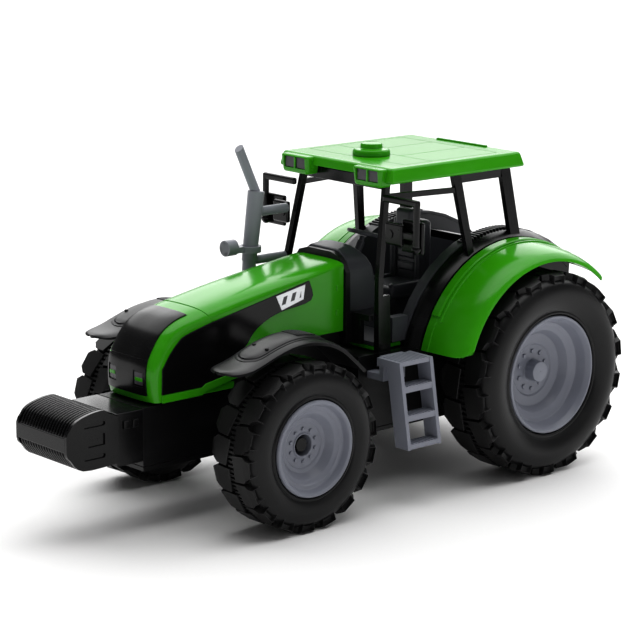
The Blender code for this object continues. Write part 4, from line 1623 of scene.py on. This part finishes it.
@dataclass
class RearFender:
    """The green rear fender: a turned band with a raised inner strip, a crease and a rolled lip."""

    shop: Workshop
    centre: Point = (0.0, 0.0, 55.0)
    front_deg: float = 165.0
    rear_deg: float = 48.6
    profile: Sequence[Point] = (
        (45.0, 68.4), (45.4, 68.8), (49.6, 68.55), (50.0, 68.2), (50.6, 68.15), (57.6, 67.4),
        (62.0, 66.85), (67.0, 65.9), (70.6, 64.75), (72.8, 63.7), (74.2, 62.4), (74.9, 61.0),
        (74.95, 60.6), (74.2, 60.5), (73.7, 61.0), (72.6, 62.3), (70.0, 63.3), (66.6, 64.3),
        (57.6, 65.9), (45.4, 67.2), (45.0, 67.5),
    )

    def at(self, x: float, radius: float, angle: float) -> Vector:
        """A point at an X, a distance from the axle and an angle in degrees from the rear."""
        turn = math.radians(angle)
        _, y, z = self.centre
        return Vector((x, y + radius * math.cos(turn), z + radius * math.sin(turn)))

    def swept(self, profile: Sequence[Point], start: float, end: float, steps: int = 64) -> Shape:
        """A closed (x, radius) profile swept round the axle between two angles.

        Args:
            profile: The profile's points.
            start: The angle at its front, in degrees.
            end: The angle at its rear.
            steps: How many steps the sweep has.

        Returns:
            The swept body, closed at both ends.
        """
        shape = Shape()
        verts = [shape.bm.verts.new(self.at(x, radius, start)) for x, radius in profile]
        face = shape.bm.faces.new(verts)
        bmesh.ops.spin(
            shape.bm,
            geom=[face, *verts, *face.edges],
            axis=(1, 0, 0),
            cent=self.centre,
            angle=math.radians(end - start),
            steps=steps,
            use_merge=False,
        )
        return shape.outward()

    def round_corner(self, band: Shape) -> None:
        """Rounds the outer corner of the band's front end, over its last 20 degrees.

        Args:
            band: The band, which is changed.
        """
        start = 145.0
        for vert in band.bm.verts:
            out = max(vert.co.x - 65.0, 0.0) / 10.0
            y, z = vert.co.y - self.centre[1], vert.co.z - self.centre[2]
            angle = math.degrees(math.atan2(z, y))
            near = max(angle - start, 0.0) / (self.front_deg - start)
            turn = angle - near * 6.0 * (1 - math.sqrt(max(1 - out * out, 0.0)))
            vert.co = self.at(vert.co.x, math.hypot(y, z), turn)

    def radius_at(self, x: float) -> float:
        """The band's outer radius at an X."""
        return height_at(self.profile[1:13], x)

    def build(self) -> None:
        """Makes the band, its raised strip, its ribbed pad and the front corner for both sides."""
        band = self.swept(self.profile, self.front_deg, self.rear_deg)
        self.round_corner(band)
        band.outward()
        self.shop.pair(band, "fender_arch", GREEN, "rear_fender", smooth=30)
        raised = [
            (45.2, 68.0), (45.2, 69.0), (45.7, 69.5), (50.3, 69.3), (50.9, 68.7), (50.9, 67.6),
        ]
        trim = self.swept(raised, 149.0, 52.0)
        ridge = [
            (52.0, 67.6), (52.0, 68.3), (52.4, 68.6), (52.9, 68.5), (53.2, 68.1), (53.2, 67.4),
        ]
        trim.with_also(self.swept(ridge, 151.0, 68.0))
        for index in range(14):
            angle = 66.0 - index * 0.9
            start, end = (self.at(x, self.radius_at(x) - 0.2, angle) for x in (52.0, 61.0))
            trim.with_also(Shape.rod(start, end, 0.42, sides=8))
        self.shop.pair(trim, "fender_trim", GREEN, body="tractor")


# --------------------------------------------------------------------- the cab


@dataclass
class Roof:
    """The green roof with panel grooves, its rear ridge, lamp pods and beacon."""

    shop: Workshop
    half_width: float = 44.1
    front_y: float = -87.8
    rear_y: float = 11.2
    foot: float = 161.8
    top: float = 169.9
    pod_x: float = 28.1
    groove: float = 0.55
    depth: float = 0.5

    def lines(self) -> list[tuple[float, float, float, float]]:
        """The grooves as low and high X and Y.

        Returns:
            Low X, low Y, high X and high Y of each groove.
        """
        wide, step = 36.5, self.groove
        front, cross, rear = -72.0, -52.0, -4.0
        lines = [(-wide, y, wide, y) for y in (front, rear, cross)]
        lines += [(x, front, x, rear) for x in (-wide, wide)]
        lines += [(x, cross, x, rear) for x in (-12.5, 12.5)]
        half = step / 2
        return [(x0 - half, y0 - half, x1 + half, y1 + half) for x0, y0, x1, y1 in lines]

    def slab(self) -> Shape:
        """The roof's rounded block, narrower at its top.

        Returns:
            The block.
        """
        wide = self.half_width
        block = Shape.box((-wide, self.front_y, self.foot), (wide, self.rear_y, self.top))
        for vert in block.bm.verts:
            if vert.co.z > self.foot + 1:
                vert.co.x *= 0.962
                vert.co.y += 1.3 if vert.co.y < 0 else -2.6
        return block.rounded(1.7, 4)

    def pod(self) -> Shape:
        """The left lamp pod with its two windows sunk in.

        Returns:
            The pod.
        """
        middle = self.pod_x
        block = Shape.box((middle - 9.8, -90.3, 159.5), (middle + 9.8, -82.0, 169.3))
        for vert in block.bm.verts:
            if vert.co.z > 165:
                vert.co.x = middle + (vert.co.x - middle) * 1.12
                vert.co.y -= 0.7 if vert.co.y < -86 else 0.0
        windows = Shape.box((middle - 8.3, -95, 162.1), (middle + 8.3, -89.2, 168.3))
        return block.rounded(1.5, 4).carved(windows.rounded(0.5, 2))

    def build(self) -> None:
        """Makes the roof, its ridge, lamps and beacon."""
        roof = self.slab()
        cutters = [
            Shape.box((-40.5, -84.8, self.foot - 5), (40.5, 6.0, self.top - 2.4)),
            Shape.box((-16.5, -95, self.foot - 5), (16.5, -84.2, self.foot + 3.1)),
        ]
        cutters += [
            Shape.box((x0, y0, self.top - self.depth), (x1, y1, self.top + 1))
            for x0, y0, x1, y1 in self.lines()
        ]
        pod = self.pod()
        roof = roof.carved(*cutters).with_also(pod.mirrored(), pod)
        self.shop.piece(roof, "roof_panel", GREEN, ("roof_shell",), smooth=35)
        ridge = Shape.box((-19.0, 5.4, self.top - 0.6), (19.0, 7.4, self.top + 0.9))
        self.shop.piece(ridge.rounded(0.5, 3), "roof_ridge", GREEN, body="tractor")
        profile = [
            (170.2, 0.0), (170.2, 10.0), (171.6, 10.0), (172.6, 9.6), (173.2, 8.9), (173.4, 6.5),
            (173.7, 6.1), (175.4, 5.9), (176.1, 5.3), (176.45, 3.8), (176.5, 0.0),
        ]
        beacon = Shape.turned(profile, (0, 0, 0), 48)
        upright = Matrix.Translation((0, -61.2, 0)) @ Matrix.Rotation(math.radians(-90), 4, "Y")
        beacon.moved(upright)
        self.shop.piece(beacon, "roof_lamp_tiers", GREEN, ("roof_beacon",), smooth=35)
        lens = Shape.box((20.1, -89.9, 162.3), (27.7, -89.0, 168.1)).rounded(0.3, 2)
        lens.with_also(Shape.box((28.5, -89.9, 162.3), (36.1, -89.0, 168.1)).rounded(0.3, 2))
        self.shop.pair(lens, "pod_lens", LENS, "roof_lamp")
        bar = Shape.box((27.6, -90.7, 162.0), (28.6, -88.9, 168.3)).rounded(0.2, 2)
        self.shop.pair(bar, "pod_bar", GREEN, body="tractor")


@dataclass
class Interior:
    """The moulded seat, the steering post and the ribbed mat in the cab."""

    shop: Workshop
    hub: Point = (0, -66.5, 128.6)
    shaft: Point = (0, 0.2756, 0.9613)

    def build(self) -> None:
        """Makes the seat, the post and the mat."""
        self.seat()
        self.post()
        mat = Shape()
        for index in range(11):
            y = -66.0 + index * 1.5
            mat.with_also(Shape.box((-22.0, y - 0.4, 78.4), (22.0, y + 0.4, 78.9)))
        self.shop.piece(mat, "floor_mat_ribs", CAB, body="tractor")

    def seat(self) -> None:
        """Makes the seat from its cushion, back, headrest and base."""
        cushion = Shape.box((-12.8, -57.8, 92.4), (12.8, -27.0, 99.6)).rounded(2.6, 4)
        for side in (-1, 1):
            x = side * 10.6
            bolster = Shape.box((x - 2.2, -56.6, 93.0), (x + 2.2, -28.0, 101.2))
            cushion.with_also(bolster.rounded(1.8, 3))
        back = Shape.box((-12.0, -34.2, 95.0), (12.0, -26.4, 132.8)).rounded(2.8, 4)
        for side in (-1, 1):
            x = side * 9.6
            bolster = Shape.box((x - 2.2, -36.6, 97.0), (x + 2.2, -28.0, 128.5))
            back.with_also(bolster.rounded(1.8, 3))
        for z in (104.0, 111.0, 118.0):
            back.with_also(Shape.box((-7.0, -35.2, z), (7.0, -30.0, z + 5.6)).rounded(1.4, 3))
        rest = Shape.box((-6.3, -37.6, 128.8), (6.3, -31.4, 138.4)).rounded(2.2, 4)
        base = Shape.box((-8.8, -49.8, 79.0), (8.8, -26.4, 94.0)).rounded(1.0, 3)
        cushion.with_also(back, rest, base)
        self.shop.piece(cushion, "seat_moulding", CAB, ("seat",), smooth=50)

    def post(self) -> None:
        """Makes the steering post, whose foot reaches into the dash and whose head stays clear."""
        hub, shaft = Vector(self.hub), Vector(self.shaft)
        column = Shape.rod(hub - shaft * 4.6, hub - shaft * 1.7, 1.4, sides=24)
        column.with_also(
            Shape.rod((0, -77.5, 101.5), (0, -74.2, 112), 3.6, 2.6, sides=32).rounded(0.4, 2),
            Shape.rod((0, -74.4, 111.4), hub - shaft * 4.4, 2.0, sides=32).rounded(0.3, 2),
            Shape.rod((-4.6, -71.4, 117.6), (4.6, -71.4, 117.6), 0.6, sides=12).rounded(0.2, 2),
        )
        self.shop.piece(column, "steering_post", CAB, ("steering_column",), smooth=40)


@dataclass
class ArchGrille:
    """The dark slats on top of each wheel arch, between the two rear posts."""

    shop: Workshop
    centre: Point = (0.0, 0.0, 55.0)
    radius: float = 73.4

    def build(self) -> None:
        """Makes the slats for both sides."""
        slats = Shape()
        for index in range(15):
            turn = math.radians(111.0 - index * 1.9)
            y = self.centre[1] + self.radius * math.cos(turn)
            z = self.centre[2] + self.radius * math.sin(turn)
            slat = Shape.box((30.6, -0.55, -0.6), (38.2, 0.55, 0.7)).rounded(0.25, 1)
            place = Matrix.Translation((0, y, z)) @ Matrix.Rotation(turn - math.pi / 2, 4, "X")
            slats.with_also(slat.moved(place))
        self.shop.pair(slats, "arch_slats", BLACK, body="tractor")


@dataclass
class Ladder:
    """The grey steps, with rounded cheeks and saw-toothed treads."""

    shop: Workshop
    # Inner X, outer X and top of each tread.
    treads: Sequence[Point] = (
        (51.5, 66.0, 75.1), (61.0, 68.2, 62.5), (63.8, 70.8, 47.9), (66.0, 73.2, 33.3),
    )

    def build(self) -> None:
        """Makes both ladders."""
        for side in ("left", "right"):
            steps = Shape.of_node("ladder_" + side, self.shop.to_frame).rounded(0.55, 3)
            sign = 1 if side == "left" else -1
            for low, high, z in self.treads:
                for index in range(9):
                    y = -99.2 + index * 2.2
                    tooth = Shape.box(
                        (min(sign * low, sign * high), y - 0.5, z - 0.2),
                        (max(sign * low, sign * high), y + 0.5, z + 0.55),
                    )
                    steps.with_also(tooth.rounded(0.2, 1))
            self.shop.piece(steps, "ladder_steps_" + side, RIM, ("ladder_" + side,), smooth=35)


@dataclass
class Exhaust:
    """The exhaust pipe with its slanted tip, clamp and round filter pod."""

    shop: Workshop
    pod_front: Point = (-36.0, -132.0, 122.6)

    def build(self) -> None:
        """Makes the pipe and the pod."""
        pipe = Shape.of_node("exhaust_stack", self.shop.to_frame).rounded(0.45, 3, 35)
        self.shop.piece(pipe, "exhaust_pipe", STACK, ("exhaust_stack",), smooth=50)
        pod = Shape.of_node("exhaust_pod", self.shop.to_frame).rounded(0.3, 2, 45)
        profile = [
            (0.0, 0.0), (0.0, 3.6), (0.35, 4.1), (0.9, 4.3), (5.0, 4.3), (5.8, 4.0), (6.3, 3.2),
            (6.5, 0.0),
        ]
        cap = Shape.turned(profile, (0, 0, 0), 40)
        turn = Matrix.Rotation(math.radians(90), 4, "Z")
        pod.with_also(cap.moved(Matrix.Translation(self.pod_front) @ turn))
        self.shop.piece(pod, "exhaust_filter", STACK, ("exhaust_pod",), smooth=45)


@dataclass
class Mirrors:
    """The mirror brackets and their rounded heads."""

    shop: Workshop

    def build(self) -> None:
        """Makes both mirrors."""
        arm = Shape.box((34.4, -85.6, 151.8), (60.4, -82.7, 155.5)).rounded(1.1, 3)
        arm.with_also(
            Shape.box((57.1, -85.7, 127.6), (60.4, -82.7, 155.5)).rounded(1.1, 3),
            Shape.box((38.0, -86.9, 130.6), (50.4, -84.1, 142.3)).rounded(1.2, 3),
            Shape.box((50.0, -85.8, 134.5), (57.6, -84.0, 138.5)).rounded(0.7, 3),
            Shape.ball((58.8, -84.2, 130.2), 2.4),
            Shape.rod((42.0, -86.9, 136.4), (42.0, -87.4, 136.4), 2.2, sides=24),
        )
        self.shop.pair(arm, "mirror_bracket", BLACK_GLOSS, "mirror_arm", smooth=50)
        head = Shape.box((45.7, -82.3, 127.3), (61.1, -80.1, 144.1)).rounded(1.05, 4)
        face = Shape.box((47.4, -80.6, 129.2), (59.4, -79.9, 142.2)).rounded(0.3, 2)
        head.with_also(face)
        self.shop.pair(head, "mirror_glass_head", BLACK_GLOSS, "mirror_head", smooth=50)


# ---------------------------------------------------------------------- studio


@dataclass
class Studio:
    """The pale floor, the soft lights and the camera."""

    shop: Workshop
    eye: Point = (0.8845, -0.77865, 0.3542)
    target: Point = (0.0002, 0.01346, 0.0855)
    roll: float = 0.43
    lens: float = 130.1
    floor_size: float = 60.0
    air: float = 0.16
    sun: float = 3.2
    sun_spread: float = 100.0

    def light(self, name: str, place: Point, aim: Point, size: float, power: float) -> None:
        """Adds one soft square light.

        Args:
            name: The light's name.
            place: Where it stands, in metres.
            aim: The point that it faces.
            size: The length of its sides.
            power: Its power in watts.
        """
        data = bpy.data.lights.new(name, "AREA")
        data.shape = "SQUARE"
        data.size = size
        data.energy = power
        lamp = bpy.data.objects.new(name, data)
        lamp.location = place
        lamp.rotation_euler = (Vector(aim) - Vector(place)).to_track_quat("-Z", "Y").to_euler()
        bpy.context.scene.collection.objects.link(lamp)

    def build(self) -> None:
        """Sets up the floor, the lights and the camera."""
        scene = bpy.context.scene
        floor_bm = bmesh.new()
        bmesh.ops.create_grid(floor_bm, x_segments=2, y_segments=2, size=self.floor_size)
        mesh = bpy.data.meshes.new("studio_floor")
        floor_bm.to_mesh(mesh)
        floor_bm.free()
        mesh.materials.append(self.shop.material(FLOOR))
        floor = bpy.data.objects.new("studio_floor", mesh)
        scene.collection.objects.link(floor)
        world = bpy.data.worlds.new("studio_air")
        world.use_nodes = True
        air = world.node_tree.nodes["Background"]
        air.inputs["Color"].default_value = (1.0, 1.0, 1.0, 1)
        air.inputs["Strength"].default_value = self.air
        scene.world = world
        middle = (0.0, 0.0, 0.08)
        self.light("back_softbox", (-1.7, 1.55, 1.15), middle, 1.9, 8.5)
        self.light("high_softbox", (0.2, 0.1, 1.7), middle, 1.2, 3)
        self.light("left_softbox", (1.7, 0.5, 0.7), middle, 0.8, 1.1)
        data = bpy.data.lights.new("even_light", "SUN")
        data.energy = self.sun
        data.angle = math.radians(self.sun_spread)
        sun = bpy.data.objects.new("even_light", data)
        sun.rotation_euler = Vector((-0.35, 0.45, 1.0)).to_track_quat("Z", "Y").to_euler()
        scene.collection.objects.link(sun)
        scene.view_settings.view_transform = "Standard"
        scene.view_settings.look = "Medium High Contrast"
        data = bpy.data.cameras.new("camera")
        data.lens = self.lens
        data.clip_start = 0.01
        camera = bpy.data.objects.new("camera", data)
        aim = (Vector(self.target) - Vector(self.eye)).to_track_quat("-Z", "Y").to_matrix().to_4x4()
        roll = Matrix.Rotation(math.radians(self.roll), 4, "Z")
        camera.matrix_world = Matrix.Translation(self.eye) @ aim @ roll
        scene.collection.objects.link(camera)
        scene.camera = camera


# ------------------------------------------------------------------- the whole


SOFTENED: dict[str, tuple[Finish, float]] = {
    "chassis_shell": (BLACK, 0.5),
    "base_plate": (BLACK, 0.4),
    "front_axle_beam": (BLACK, 0.4),
    "firewall_frame": (BLACK, 0.35),
    "roof_frame": (BLACK_GLOSS, 0.4),
    "rear_crossbar": (BLACK_GLOSS, 0.5),
    "tow_hitch": (BLACK, 0.4),
    "side_frame_left": (BLACK_GLOSS, 0.9),
    "side_frame_right": (BLACK_GLOSS, 0.9),
    "deck_plate": (GREEN, 0.3),
    "dash_cowl": (CAB, 1.0),
    "cab_tub": (CAB, 0.4),
}
DRESSED: dict[str, Finish] = {
    "axle_cap_left": BLACK,
    "axle_cap_right": BLACK,
    "steering_wheel": CAB,
    "base_screw_front": STEEL,
    "base_screw_rear": STEEL,
    "front_axle": STEEL,
    "rear_axle": STEEL,
    "idler_shaft": STEEL,
    "flywheel_shaft": STEEL,
    "flywheel": STEEL,
    "motor_case": GEAR,
    "motor_cover": GEAR,
    "axle_gear": GEAR,
    "idler_gear": GEAR,
}
PARTS = (
    WeightBlock,
    Hood,
    FrontFender,
    RearFender,
    Roof,
    Interior,
    ArchGrille,
    Ladder,
    Exhaust,
    Mirrors,
)


def main() -> None:
    """Builds every sub-assembly in order."""
    logging.basicConfig(level=logging.INFO, format="%(message)s")
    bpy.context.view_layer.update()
    shop = Workshop()
    for maker in (front_wheels(shop), rear_wheels(shop)):
        maker.build()
    for part in PARTS:
        part(shop).build()
    for node, (finish, width) in SOFTENED.items():
        shop.soften(node, finish, width)
    for node, finish in DRESSED.items():
        shop.dress(node, finish)
    Studio(shop).build()


if __name__ == "__main__":
    main()
